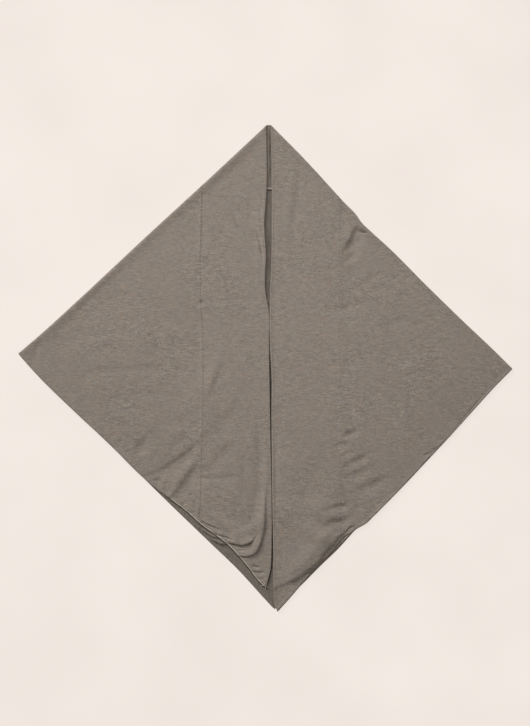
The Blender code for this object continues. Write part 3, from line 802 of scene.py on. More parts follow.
@dataclass
class CutPattern:
    """The cut divided into fine triangles that follow its edges, seam and folds."""

    cloth: FoldedCloth
    edge_step: float = 0.0029
    flap_step: float = 0.0038
    strip_step: float = 0.0026
    back_step: float = 0.010
    strip_width: float = 0.045
    gap_strip: float = 0.014
    edge_rows: tuple[float, ...] = (0.3, 0.7, 1.2, 2.0, 2.9, 3.6, 4.2, 4.8, 5.6, 7.2)
    seam_rows: tuple[float, ...] = (0.4, 0.9, 1.6, 2.4, 3.2, 4.2)
    fold_rows: tuple[float, ...] = (0, 0.8, 1.6, 2.4, 3.2, 4.0, 5.2, 7.0)
    sharp_width: float = 3.0
    edge_clearance: float = 0.45 * MM
    seam_clearance: float = 0.5 * MM
    fold_clearance: float = 0.9 * MM
    crease_clearance: float = 0.55 * MM
    least_inward: float = 0.25 * MM
    fine_packing: float = 0.6
    coarse_packing: float = 0.5
    crease_rows: tuple[float, ...] = (0.0, 0.35, 0.75, 1.2, 1.8, 2.6)
    crease_step: float = 0.0018

    @property
    def seam_end(self) -> float:
        """Returns how far from the middle the seam meets a leg, along the long edge."""
        return self.cloth.half_long_edge - float(self.cloth.seam_v(self.cloth.half_long_edge))

    def points_between(self, start: Spot, end: Spot) -> list[Spot]:
        """Spaces points evenly along a straight line in the cut.

        Args:
            start, end: The line's two ends.

        Returns:
            The points, with both ends.
        """
        count = max(1, math.ceil(math.dist(start, end) / self.edge_step))
        return [
            (start[0] + (end[0] - start[0]) * i / count, start[1] + (end[1] - start[1]) * i / count)
            for i in range(count + 1)
        ]

    def seam_line(self) -> list[Spot]:
        """Spaces points along the seam.

        Returns:
            The points, from one leg to the other.
        """
        count = math.ceil(2 * self.seam_end / self.edge_step)
        u = np.linspace(-self.seam_end, self.seam_end, count + 1)
        return list(zip(u.tolist(), self.cloth.seam_v(u).tolist()))

    def outline(self) -> list[Spot]:
        """Spaces points round the cut, with stops where the seam meets the legs.

        Returns:
            The points, in order.
        """
        long_half, seam_u = self.cloth.half_long_edge, self.seam_end
        stops = [(-long_half, 0.0), (long_half, 0.0), (seam_u, long_half - seam_u), (0.0, long_half)]
        stops += [(-seam_u, long_half - seam_u), (-long_half, 0.0)]
        points = []
        for start, end in zip(stops, stops[1:]):
            points += self.points_between(start, end)[:-1]
        return points

    def rows_beside_edges(self, picker: PointPicker) -> None:
        """Keeps rows of points beside the edges, the seam and the folds.

        Args:
            picker: What keeps the points.
        """
        long_half, apart = self.cloth.half_long_edge, math.sqrt(2)
        for row in self.edge_rows:
            inward = row * MM
            for point in self.points_between((-long_half, inward), (long_half, inward)):
                self.keep_inside(picker, point, self.edge_clearance)
            reach = long_half - inward * apart
            for sign in (-1, 1):
                for point in self.points_between((sign * reach, 0.0), (0.0, reach)):
                    self.keep_inside(picker, point, self.edge_clearance)
        for row in self.seam_rows:
            for sign in (-1, 1):
                for u, v in self.seam_line():
                    self.keep_inside(picker, (u, v + sign * row * MM), self.seam_clearance)
        for row in self.fold_rows:
            for sign in (-1, 1):
                for offset in {row, -row}:
                    aside = self.cloth.half_apex + offset * MM * apart
                    end = (long_half - aside) / 2
                    for point in self.points_between((sign * aside, 0.0), (sign * (end + aside), end)):
                        self.keep_inside(picker, point, self.fold_clearance)

    def rows_beside_creases(self, picker: PointPicker) -> None:
        """Keeps rows of points beside the sharp creases, so that their sides come out steep.

        Args:
            picker: What keeps the points.
        """
        for half in self.cloth.halves:
            layers = [(crease, True) for crease in half.creases]
            for crease, on_flap in layers + [(crease, False) for crease in BACK_CREASES]:
                for places in self.rows_of(crease) if crease.steep <= self.sharp_width else ():
                    for u, v in self.cloth.find_in_cut(half, places, on_flap).tolist():
                        if half.side.value * u > 0 and (abs(u) - self.cloth.half_apex > v) == on_flap:
                            self.keep_inside(picker, (u, v), self.crease_clearance)

    def rows_of(self, crease: Crease) -> list[Array]:
        """Finds rows of places beside a crease, spaced by the width of its steep side.

        Args:
            crease: The crease.

        Returns:
            The rows of places on the table, the nearest first.
        """
        path = crease.path()
        travelled = np.concatenate([[0.0], np.cumsum(np.linalg.norm(np.diff(path, axis=0), axis=1))])
        at = np.arange(-crease.width * MM, travelled[-1] + crease.width * MM, self.crease_step)
        line = np.column_stack([np.interp(at, travelled, path[:, axis]) for axis in (0, 1)])
        heading = np.gradient(path, axis=0)
        heading = np.column_stack([np.interp(at, travelled, heading[:, axis]) for axis in (0, 1)])
        heading /= np.linalg.norm(heading, axis=1)[:, None]
        beyond = np.clip(at, 0.0, travelled[-1]) - at
        line -= heading * beyond[:, None]
        aside = np.column_stack([-heading[:, 1], heading[:, 0]])
        offsets = {sign * row * crease.steep * MM for row in self.crease_rows for sign in (-1, 1)}
        return [line + aside * offset for offset in sorted(offsets, key=abs)]

    def keep_inside(self, picker: PointPicker, point: Spot, clearance: float) -> None:
        """Keeps a point that lies inside the cut and clear of the others."""
        if min(point[1], self.cloth.from_leg(*point)) > self.least_inward:
            picker.keep(point, clearance)

    def fill(self, picker: PointPicker, step: float, clearance: float, wanted: Area) -> None:
        """Keeps the points of a lattice in one part of the cut.

        Args:
            picker: What keeps the points.
            step: The lattice's spacing.
            clearance: The least distance to another point.
            wanted: The area to fill.
        """
        long_half = self.cloth.half_long_edge
        rows = math.ceil(long_half / (step * math.sqrt(0.75)))
        columns = math.ceil(long_half / step)
        for row in range(1, rows):
            v = row * step * math.sqrt(0.75)
            for column in range(-columns, columns + 1):
                u = (column + 0.5 * (row % 2)) * step
                leg = self.cloth.from_leg(u, v)
                if leg < clearance:
                    continue
                shows = leg < self.strip_width or abs(u) < self.gap_strip
                back = Area.SHOWN_BACK if shows else Area.HIDDEN_BACK
                if (Area.FLAP if abs(u) > v else back) is wanted:
                    picker.keep((u, v), clearance)

    def divide(self) -> tuple[Array, Array]:
        """Divides the cut.

        Returns:
            The points of the cut, and the triangles between them.
        """
        picker = PointPicker()
        outline, seam = self.outline(), self.seam_line()
        for point in outline + seam[1:-1]:
            picker.keep(point)
        edges = [(i, (i + 1) % len(outline)) for i in range(len(outline))]
        first = len(outline)
        edges += [(first + i, first + i + 1) for i in range(len(seam) - 3)]
        for end, own in ((seam[0], first), (seam[-1], first + len(seam) - 3)):
            edges += [(min(range(first), key=lambda i: math.dist(outline[i], end)), own)]
        self.rows_beside_edges(picker)
        self.rows_beside_creases(picker)
        for area, step, packing in (
            (Area.FLAP, self.flap_step, self.fine_packing),
            (Area.SHOWN_BACK, self.strip_step, self.fine_packing),
            (Area.HIDDEN_BACK, self.back_step, self.coarse_packing),
        ):
            self.fill(picker, step, packing * step, area)
        flat, _, triangles = delaunay_2d_cdt(picker.points, edges, [], 1, 1e-7)[:3]
        return np.array([tuple(point) for point in flat]), np.array(triangles)


class Nodes:
    """Builds a material's nodes by name, so that a finish reads as a list of steps."""

    def __init__(self, name: str) -> None:
        """Starts a material with only its shader.

        Args:
            name: The material's name.
        """
        self.material = bpy.data.materials.new(name)
        self.material.use_nodes = True
        self.tree = self.material.node_tree
        self.shader = self.tree.nodes["Principled BSDF"]

    def add(self, kind: str, inputs: dict | None = None, **settings: object) -> bpy.types.Node:
        """Adds a node.

        Args:
            kind: Blender's name for it, without ShaderNode.
            inputs: Its sockets' values or the sockets that feed them, by name or number.
            settings: Its own settings.

        Returns:
            The new node.
        """
        node = self.tree.nodes.new("ShaderNode" + kind)
        for name, value in settings.items():
            setattr(node, name, value)
        for name, value in (inputs or {}).items():
            self.feed(node.inputs[name], value)
        return node

    def feed(self, socket: bpy.types.NodeSocket, value: object) -> None:
        """Links a socket to another one, or sets its value.

        Args:
            socket: The socket.
            value: The socket that feeds it, or its value.
        """
        if isinstance(value, bpy.types.NodeSocket):
            self.tree.links.new(value, socket)
        else:
            socket.default_value = value

    def maths(self, operation: str, *values: object) -> bpy.types.NodeSocket:
        """Adds a Math node and returns its result."""
        return self.add("Math", dict(enumerate(values)), operation=operation).outputs[0]

    def colour_mix(self, share_of_b: object, a: object, b: object) -> bpy.types.NodeSocket:
        """Adds a colour mix.

        Args:
            share_of_b: How much of the second colour there is.
            a, b: The two colours.

        Returns:
            The mixed colour.
        """
        node = self.add("Mix", data_type="RGBA")
        for index, value in ((0, share_of_b), (6, a), (7, b)):
            self.feed(node.inputs[index], value)
        return node.outputs[2]

    def set(self, **values: object) -> None:
        """Sets or links the shader's own sockets, with _ for a space in a name."""
        for name, value in values.items():
            self.feed(self.shader.inputs[name.replace("_", " ")], value)


@dataclass(frozen=True)
class JerseyFinish:
    """Fine knitted jersey: its colour, its uneven yarn and its loops."""

    name: str
    colour: Triple
    grain_share: float = 0.60
    streak_share: float = 0.38
    blotch_share: float = 0.02
    loop: float = 0.0011
    loop_depth: float = 0.00012
    course: float = 0.0012
    course_shift: float = 5.37
    row_share: float = 0.8
    right_slant: float = 1.1
    wrong_slant: float = 0.5
    wave_share: float = 0.5
    rib_share: float = 0.35
    yarn_share: float = 1.5
    blotch_scale: float = 9.0
    streak_courses: float = 1.55
    grain_length: float = 0.0030
    streak_length: float = 0.0105
    warm_tint: Triple = (1.28, 0.96, 0.80)
    cool_tint: Triple = (0.82, 1.00, 1.27)
    streak_shift: float = 13.7
    warm_shift: float = 41.3
    cool_shift: float = 87.9
    grain_spread: Triple = (0.25, 0.75, 1.0)
    dark_streaks: Triple = (0.50, 0.34, 0.5)
    light_streaks: Triple = (0.54, 0.70, 0.5)
    blotch_spread: Triple = (0.35, 0.65, 0.5)
    tint_spread: Triple = (0.38, 0.66, 0.6)
    roughness: float = 0.86
    sheen: float = 0.18
    wrong_side: bool = False

    def tone(self, factor: float = 1.0, tint: Triple = (1.0, 1.0, 1.0)) -> Colour:
        """Returns the jersey's colour made lighter or darker, and tinted."""
        return tuple(min(1.0, part * factor * change) for part, change in zip(self.colour, tint)) + (1.0,)

    def yarn_noise(
        self, nodes: Nodes, u: object, v: object, length: float, shift: float, courses: float = 1.0
    ) -> bpy.types.NodeSocket:
        """Builds noise that is drawn out along the yarn and differs from course to course.

        Args:
            nodes: The material's nodes.
            u, v: The sockets with the place in the cut.
            length: How long the noise's light and dark stretches are, in metres.
            shift: How far it is shifted, so that two noises differ.
            courses: How many courses look alike.

        Returns:
            The noise's value.
        """
        row = nodes.maths("FLOOR", nodes.maths("DIVIDE", u, self.course * courses))
        across = nodes.maths("MULTIPLY", row, self.course_shift)
        along = nodes.maths("MULTIPLY_ADD", v, 1 / length, shift)
        place = nodes.add("CombineXYZ", {0: across, 1: along, 2: shift}).outputs[0]
        noise = {"Vector": place, "Scale": 1.0, "Detail": 1.5, "Roughness": 0.6}
        return nodes.add("TexNoise", noise).outputs[0]

    def spread(self, nodes: Nodes, value: object, reach: Triple) -> bpy.types.NodeSocket:
        """Spreads a noise from 0 at the reach's first value to its third at its second."""
        ends = zip(("From Min", "From Max", "To Max"), reach)
        return nodes.add("MapRange", {"Value": value, "To Min": 0.0, **dict(ends)}).outputs[0]

    def knit_height(self, nodes: Nodes, u: object, v: object) -> bpy.types.NodeSocket:
        """Builds the height of the knitted loops.

        Args:
            nodes: The material's nodes.
            u, v: The sockets with the place in the cut.

        Returns:
            The height, as a share of the loops' depth.
        """
        column = nodes.maths("DIVIDE", v, self.loop)
        middle = nodes.maths("ABSOLUTE", nodes.maths("SUBTRACT", nodes.maths("FRACT", column), 0.5))
        slant = nodes.maths("MULTIPLY", middle, self.wrong_slant if self.wrong_side else self.right_slant)
        row = nodes.maths("ADD", nodes.maths("DIVIDE", u, self.loop * self.row_share), slant)
        wave = nodes.maths("SINE", nodes.maths("MULTIPLY", row, 2 * math.pi))
        rib = nodes.maths("COSINE", nodes.maths("MULTIPLY", column, 4 * math.pi))
        waves = nodes.maths("MULTIPLY", wave, self.wave_share)
        return nodes.maths("ADD", waves, nodes.maths("MULTIPLY", rib, self.rib_share))

    def make(self) -> bpy.types.Material:
        """Makes the material.

        Returns:
            The material.
        """
        nodes = Nodes(self.name)
        cut = nodes.add("UVMap", uv_map="cut").outputs[0]
        u, v = nodes.add("SeparateXYZ", {0: cut}).outputs[:2]
        grain = self.yarn_noise(nodes, u, v, self.grain_length, 0.0)
        streaks = self.yarn_noise(nodes, u, v, self.streak_length, self.streak_shift, self.streak_courses)
        warmth = self.yarn_noise(nodes, u, v, self.grain_length, self.warm_shift)
        coolness = self.yarn_noise(nodes, u, v, self.grain_length, self.cool_shift)
        clouds = {"Vector": cut, "Scale": self.blotch_scale, "Detail": 2.0, "Roughness": 0.5}
        blotches = nodes.add("TexNoise", clouds).outputs[0]

        base = self.tone(1 - self.grain_share)
        for noise, reach, colour in (
            (grain, self.grain_spread, self.tone(1 + self.grain_share)),
            (streaks, self.dark_streaks, self.tone(1 - 2 * self.streak_share)),
            (streaks, self.light_streaks, self.tone(1 + 2 * self.streak_share)),
            (blotches, self.blotch_spread, self.tone(1 - 2 * self.blotch_share)),
            (warmth, self.tint_spread, self.tone(tint=self.warm_tint)),
            (coolness, self.tint_spread, self.tone(tint=self.cool_tint)),
        ):
            base = nodes.colour_mix(self.spread(nodes, noise, reach), base, colour)

        loops = nodes.maths("MULTIPLY", self.knit_height(nodes, u, v), self.loop_depth)
        yarn = nodes.maths("MULTIPLY", streaks, self.loop_depth * self.yarn_share)
        height = nodes.maths("ADD", loops, yarn)
        bump = nodes.add("Bump", {"Strength": 1.0, "Distance": 1.0, "Height": height})
        nodes.set(Base_Color=base, Normal=bump.outputs[0], Roughness=self.roughness)
        nodes.set(IOR=1.45, Specular_IOR_Level=0.22)
        nodes.set(Sheen_Weight=self.sheen, Sheen_Roughness=0.45, Sheen_Tint=self.tone(2.2))
        return nodes.material


@dataclass(frozen=True)
class ThreadFinish:
    """Twisted sewing thread."""

    name: str
    colour: Colour
    twist: float = 0.0007
    dark_share: float = 0.72

    def make(self) -> bpy.types.Material:
        """Makes the material.

        Returns:
            The material.
        """
        nodes = Nodes(self.name)
        place = nodes.add("TexCoord").outputs["Object"]
        twist = nodes.add("TexNoise", {"Vector": place, "Scale": 1 / self.twist, "Detail": 1.0})
        dark = tuple(part * self.dark_share for part in self.colour[:3]) + (1.0,)
        colour = nodes.colour_mix(twist.outputs[0], dark, self.colour)
        bump = nodes.add("Bump", {"Strength": 0.6, "Distance": 0.0001, "Height": twist.outputs[0]})
        nodes.set(Base_Color=colour, Normal=bump.outputs[0], Roughness=0.75, Specular_IOR_Level=0.2)
        return nodes.material


@dataclass(frozen=True)
class TableFinish:
    """The plain warm white top that the garment lies on."""

    name: str = "pale_table"
    light: Colour = (0.955, 0.875, 0.815, 1.0)
    shade: Colour = (0.850, 0.772, 0.715, 1.0)
    own_glow: float = 0.862
    dimming: float = 0.88

    def make(self) -> bpy.types.Material:
        """Makes the material.

        Returns:
            The material.
        """
        nodes = Nodes(self.name)
        place = nodes.add("TexCoord").outputs["Object"]
        clouds = nodes.add("TexNoise", {"Vector": place, "Scale": 4.5, "Detail": 2.0, "Roughness": 0.45})
        colour = nodes.colour_mix(clouds.outputs[0], self.shade, self.light)
        dim = nodes.colour_mix(self.dimming, colour, (0.0, 0.0, 0.0, 1.0))
        nodes.set(Base_Color=dim, Emission_Color=colour, Emission_Strength=self.own_glow)
        nodes.set(Roughness=0.9, Specular_IOR_Level=0.0)
        return nodes.material


def add_object(name: str, content: bpy.types.ID) -> bpy.types.Object:
    """Makes an object and links it to the scene.

    Args:
        name: The object's name.
        content: Its mesh, lamp or camera.

    Returns:
        The object.
    """
    made = bpy.data.objects.new(name, content)
    bpy.context.scene.collection.objects.link(made)
    return made


def add_mesh(
    name: str, places: Array, faces: list, materials: list[bpy.types.Material], cut: Array | None = None
) -> bpy.types.Object:
    """Makes a smooth mesh object.

    Args:
        name: The piece's name.
        places: Its vertices.
        faces: Its faces, as rows of vertex numbers.
        materials: Its materials, in the order of its slots.
        cut: Where in the cut its vertices lie, if its finish needs that.

    Returns:
        The object, linked to the scene.
    """
    mesh = bpy.data.meshes.new(name)
    mesh.from_pydata(places.tolist(), [], faces)
    mesh.shade_smooth()
    for material in materials:
        mesh.materials.append(material)
    if cut is not None:
        corners = np.empty(len(mesh.loops), np.int32)
        mesh.loops.foreach_get("vertex_index", corners)
        layer = mesh.uv_layers.new(name="cut")
        layer.data.foreach_set("uv", cut[corners].ravel().astype(np.float32))
    return add_object(name, mesh)


@dataclass
class ClothPanel:
    """One cut piece of jersey as a thin wall with rounded hems, folded with the garment."""

    name: str
    panel: Panel
    cloth: FoldedCloth
    points: Array
    triangles: Array
    right_side: JerseyFinish
    wrong_side: JerseyFinish
    seam_gap: float = 0.00002
    seam_dip: float = 0.00014
    seam_dip_width: float = 0.0009
    allowance_lift: float = 0.00026
    allowance_width: float = 0.0038
    sharp_angle: float = 65.0

    def own_triangles(self) -> Array:
        """Picks the triangles of the cut on this panel's side of the seam.

        Returns:
            The triangles.
        """
        centres = self.points[self.triangles].mean(axis=1)
        toward = centres[:, 1] - self.cloth.seam_v(centres[:, 0])
        return self.triangles[self.panel.value * toward > 0]

    def build(self) -> bpy.types.Object:
        """Builds the wall and dresses its two sides.

        Returns:
            The panel's object.
        """
        own = self.own_triangles()
        used, own = np.unique(own, return_inverse=True)
        own = own.reshape(-1, 3)
        u, v = self.points[used].T
        from_seam = v - self.cloth.seam_v(u)
        v = v + np.where(np.abs(from_seam) < 1e-5, self.panel.value * self.seam_gap / 2, 0.0)
        middle, normal = self.cloth.skin(u, v)
        half = self.cloth.half_wall(u, v)
        dip = self.seam_dip * np.exp(-((from_seam / self.seam_dip_width) ** 2))
        from_middle = (from_seam - self.allowance_width / 2) / (self.allowance_width / 2)
        dip -= self.allowance_lift / (1 + from_middle**8)
        outer = middle + normal * (half - dip)[:, None]
        inner = middle - normal * half[:, None]
        outer[:, 2] = np.maximum(outer[:, 2], 0.0)

        count = len(used)
        sides = {(a, b) for t in own.tolist() for a, b in zip(t, t[1:] + t[:1])}
        rim = [(b, a, a + count, b + count) for a, b in sorted(sides) if (b, a) not in sides]
        faces = own.tolist() + (own[:, ::-1] + count).tolist() + rim
        materials = [self.right_side.make(), self.wrong_side.make()]
        cut = np.column_stack([u, v])
        piece = add_mesh(self.name, np.vstack([outer, inner]), faces, materials, np.vstack([cut, cut]))
        finish = np.zeros(len(faces), np.int32)
        finish[len(own) : 2 * len(own)] = 1
        piece.data.polygons.foreach_set("material_index", finish)
        piece.data.set_sharp_from_angle(angle=math.radians(self.sharp_angle))
        return piece


@dataclass
class Tubes:
    """Collects short lengths of thread into one mesh."""

    sides: int = 5
    places: list[Array] = field(default_factory=list)
    faces: list[tuple[int, ...]] = field(default_factory=list)
    count: int = 0

    def add(self, path: Array, radii: float | Array, up: Array = UP) -> None:
        """Adds one thread along a path.

        Args:
            path: The points of its middle line.
            radii: Its radius, or its radius at each point.
            up: A direction that is never along the path.
        """
        radii = np.broadcast_to(radii, len(path))
        along = np.gradient(path, axis=0)
        along /= np.linalg.norm(along, axis=1)[:, None]
        aside = np.cross(along, up)
        aside /= np.linalg.norm(aside, axis=1)[:, None]
        rise = np.cross(aside, along)
        turns = np.arange(self.sides) * 2 * math.pi / self.sides
        cos, sin = np.cos(turns)[None, :, None], np.sin(turns)[None, :, None]
        ring = aside[:, None] * cos + rise[:, None] * sin
        self.places.append((path[:, None] + ring * radii[:, None, None]).reshape(-1, 3))
        for i in range(len(path) - 1):
            for j in range(self.sides):
                first = self.count + i * self.sides
                a, b = first + j, first + (j + 1) % self.sides
                self.faces.append((a, b, b + self.sides, a + self.sides))
        last = self.count + (len(path) - 1) * self.sides
        self.faces.append(tuple(range(self.count, self.count + self.sides))[::-1])
        self.faces.append(tuple(range(last, last + self.sides)))
        self.count += len(path) * self.sides

    def build(self, name: str, finish: ThreadFinish) -> bpy.types.Object:
        """Makes the threads' object."""
        return add_mesh(name, np.vstack(self.places), self.faces, [finish.make()])


@dataclass
class StitchRow:
    """A row of stitches along a line of the cut, on the garment's right side."""

    cloth: FoldedCloth
    pitch: float
    length: float
    radius: float
    seed: int
    sunk: float = 0.0001
    spread: float = 0.12
    arch: float = 1.1
    end_share: float = 0.55

    def lay_along(self, line: Array, tubes: Tubes) -> None:
        """Adds the stitches of one line.

        Args:
            line: Points of the cut along the row.
            tubes: What collects the threads.
        """
        steps = np.linalg.norm(np.diff(line, axis=0), axis=1)
        travelled = np.concatenate([[0.0], np.cumsum(steps)])
        random = np.random.default_rng(self.seed)
        starts = np.arange(self.pitch, travelled[-1] - self.length, self.pitch)
        starts += random.uniform(-self.spread, self.spread, len(starts)) * self.pitch
        lengths = self.length * random.uniform(1 - self.spread * 2, 1 + self.spread * 2, len(starts))
        shares = np.linspace(0.0, 1.0, 4)
        at = (starts[:, None] + lengths[:, None] * shares[None, :]).ravel()
        u, v = (np.interp(at, travelled, line[:, axis]) for axis in (0, 1))
        middle, normal = self.cloth.skin(u, v)
        arch = np.tile(np.sin(shares * math.pi) * self.radius * self.arch - self.sunk, len(starts))
        places = middle + normal * (self.cloth.half_wall(u, v) + arch)[:, None]
        places[:, 2] = np.maximum(places[:, 2], self.radius)
        radii = self.radius * np.array([self.end_share, 1.0, 1.0, self.end_share])
        for i in range(len(starts)):
            part = slice(len(shares) * i, len(shares) * (i + 1))
            tubes.add(places[part], radii, normal[part])


@dataclass
class Sewing:
    """All the sewing: the seam with its allowance, the hems' stitches and loose thread ends."""

    cloth: FoldedCloth
    seam_inset: float = 0.003
    hem_inward: float = 0.0032
    hem_inset: float = 0.001
    corner_inset: float = 0.009
    allowance_inset: float = 0.001
    allowance_width: float = 0.0028
    allowance_height: float = 0.0011
    allowance_across: tuple[float, ...] = (-0.1, -0.05, 0.12, 0.4, 0.75, 0.98, 1.0, 0.85, 0.45, 0.1)
    allowance_lifts: tuple[float, ...] = (0.0, 0.75, 1.0, 0.85, 1.0, 0.6, 0.1, 0.0, 0.0, 0.0)
    allowance_shadow_inset: float = 0.008
    allowance_shadow_radius: float = 0.0009
    loose_end_radius: float = 0.00036
    loose_end_bend: float = 2.6
    loose_end_rise: float = 0.0006
    end_points: int = 7
    highlight_radius: float = 0.0009
    highlight_in: float = 0.0010
    highlight_start: float = 0.003
    highlight_length: float = 0.170
    inner_shadow_start: float = 0.012
    inner_shadow_in: float = 0.0002
    look_in: float = 0.01
    nub_places: tuple[Spot, Spot] = ((0.1449, -0.2496), (0.1453, -0.2803))
    nub_radius: float = 0.0007
    nub_lift: float = 0.0004
    nub_loop: Triple = (0.0011, 0.0020, 0.0007)
    # Where the dark painted shadow lines lie beside and below the free edges.
    shadow_line_out: float = 0.0010
    shadow_line_drop: float = 0.0012
    shadow_line_radius: float = 0.0007
    # Pale thread colour for a line along the left flap's free hem: a painted highlight where that edge
    # catches the light.
    painted_highlight_thread: ThreadFinish = ThreadFinish("painted_highlight_thread", (0.50, 0.445, 0.37, 1.0))
    # Near-black colour for dark lines under the seam allowance and the left flap's inner edge: painted
    # shadow.
    painted_shadow_thread: ThreadFinish = ThreadFinish("painted_shadow_thread", (0.022, 0.019, 0.015, 1.0))
    loose_thread: ThreadFinish = ThreadFinish("loose_thread", (0.40, 0.36, 0.31, 1.0))
    # Dark colour for the seam stitches, partly their own thread and partly painted shade in the needle
    # holes; it also makes the painted shadow line below the left flap's hem.
    seam_thread_and_shadow: ThreadFinish = ThreadFinish("seam_thread_and_shadow", (0.075, 0.063, 0.052, 1.0))
    hem_thread: ThreadFinish = ThreadFinish("hem_thread", (0.17, 0.145, 0.122, 1.0))

    def along_seam(self, inset: float, count: int) -> Array:
        """Spaces places of the cut evenly along the seam.

        Args:
            inset: How far short of the legs they end.
            count: How many there are.

        Returns:
            The places.
        """
        end = self.cloth.half_long_edge - self.cloth.band_width - inset
        u = np.linspace(-end, end, count)
        return np.column_stack([u, self.cloth.seam_v(u)])

    def seam_stitches(self) -> bpy.types.Object:
        """Makes the stitches that show along the seam.

        Returns:
            The stitches' object.
        """
        tubes = Tubes()
        row = StitchRow(
            self.cloth, pitch=0.0066, length=0.0030, radius=0.00042, seed=5, sunk=0.0003, spread=0.2
        )
        row.lay_along(self.along_seam(self.seam_inset, 900), tubes)
        return tubes.build("seam_stitches", self.seam_thread_and_shadow)

    def hem_stitches(self, panel: Panel) -> bpy.types.Object:
        """Makes the stitches along one panel's hems.

        Args:
            panel: The panel.

        Returns:
            The stitches' object.
        """
        tubes = Tubes(sides=4)
        row = StitchRow(self.cloth, pitch=0.0032, length=0.0021, radius=0.00022, seed=11)
        long_half, inward = self.cloth.half_long_edge, self.hem_inward
        seam = self.cloth.band_width
        reach = long_half - inward * math.sqrt(2)
        low, high = (seam, reach) if panel is Panel.MAIN else (inward * 1.5, seam)
        for side in Side:
            v = np.linspace(low + self.hem_inset, high - self.hem_inset, 300)
            row.lay_along(np.column_stack([side.value * (reach - v), v]), tubes)
        if panel is Panel.BAND:
            u = np.linspace(-long_half + self.corner_inset, long_half - self.corner_inset, 900)
            row.lay_along(np.column_stack([u, np.full_like(u, inward)]), tubes)
        return tubes.build(f"{panel.name.lower()}_hem_stitches", self.hem_thread)

    def seam_allowance(self, finish: JerseyFinish) -> bpy.types.Object:
        """Makes the pressed seam allowance on the wrong side.

        Args:
            finish: Its finish, lighter than the wrong side as a painted highlight on the allowance.

        Returns:
            The allowance's object.
        """
        u, seam = self.along_seam(self.allowance_inset, 700).T
        across = np.array(self.allowance_across) * self.allowance_width
        lifts = np.array(self.allowance_lifts) * self.allowance_height
        rings = [self.cloth.face(u, seam + a, lift, False) for a, lift in zip(across, lifts)]
        places = np.stack(rings, axis=1).reshape(-1, 3)
        count = len(across)
        faces = [
            (i + j, i + (j + 1) % count, i + count + (j + 1) % count, i + count + j)
            for i in range(0, (len(u) - 1) * count, count)
            for j in range(count)
        ]
        faces += [tuple(range(count))[::-1], tuple(range((len(u) - 1) * count, len(u) * count))]
        cut = np.column_stack([np.repeat(u, count), np.tile(across, len(u)) + np.repeat(seam, count)])
        return add_mesh("seam_allowance", places, faces, [finish.make()], cut)

    def painted_shadow_below_allowance(self) -> bpy.types.Object:
        """Makes a dark line along the free edge of the seam allowance, a painted shadow below it.

        Returns:
            The thread's object.
        """
        tubes = Tubes()
        u, seam = self.along_seam(self.allowance_shadow_inset, 600).T
        v = seam + self.allowance_width + self.allowance_shadow_radius
        tubes.add(self.cloth.face(u, v, self.allowance_shadow_radius * 0.6, False), self.allowance_shadow_radius)
        return tubes.build("painted_shadow_below_allowance", self.painted_shadow_thread)

    def shadow_line_below_edge(self, u: Array, v: Array, inner: Spot) -> Tubes:
        """Lays a dark line just outside a free edge and below it, as painted shadow.

        Args:
            u, v: Places of the cut along the edge.
            inner: A short step of the cut that leads from the edge into the cloth.

        Returns:
            The shadow line.
        """
        path = self.cloth.skin(u, v)[0]
        aside = np.cross(np.gradient(path, axis=0), UP)
        aside /= np.linalg.norm(aside, axis=1)[:, None]
        inside = self.cloth.skin(u + inner[0], v + inner[1])[0]
        aside *= -np.sign(np.sum(aside * (inside - path), axis=1))[:, None]
        below = path + aside * self.shadow_line_out - UP * self.shadow_line_drop
        below[:, 2] = np.maximum(below[:, 2], self.shadow_line_radius)
        tubes = Tubes()
        tubes.add(below, self.shadow_line_radius)
        return tubes

    def left_flap_edges(self) -> list[bpy.types.Object]:
        """Makes a painted highlight on the left flap's free hem, and painted shadow below its edges.

        Returns:
            The rolled edge and the threads.
        """
        long_half = self.cloth.half_long_edge
        v = np.linspace(self.highlight_start, self.highlight_length, 260)
        edge = Tubes()
        path = self.cloth.face(v + self.highlight_in * math.sqrt(2) - long_half, v, -self.highlight_radius / 3)
        edge.add(path, self.highlight_radius)
        hem_shadow_line = self.shadow_line_below_edge(v - long_half, v, (self.look_in, 0.0))
        u = np.linspace(-long_half + self.inner_shadow_start, -long_half / 2, 500)
        inner_shadow_line = self.shadow_line_below_edge(u, np.full_like(u, self.inner_shadow_in), (0.0, self.look_in))
        return [
            edge.build("hem_painted_highlight", self.painted_highlight_thread),
            hem_shadow_line.build("painted_shadow_below_hem", self.seam_thread_and_shadow),
            inner_shadow_line.build("painted_shadow_below_inner_edge", self.painted_shadow_thread),
        ]

    def nubs(self) -> bpy.types.Object:
        """Makes the two small knots of thread that stand out of the right seam.

        Returns:
            The knots' object.
        """
        tubes = Tubes()
        at = self.cloth.find_in_cut(RIGHT_HALF, np.array(self.nub_places), True)
        for u, v in at:
            start = self.cloth.face(np.array([u]), np.array([v]), self.nub_lift)[0]
            t = np.linspace(0.0, 1.0, self.end_points)
            loop = np.column_stack([np.cos(3.4 * t), t, np.sin(math.pi * t)]) * self.nub_loop
            tubes.add(start + loop, self.nub_radius)
        return tubes.build("seam_nubs", self.loose_thread)

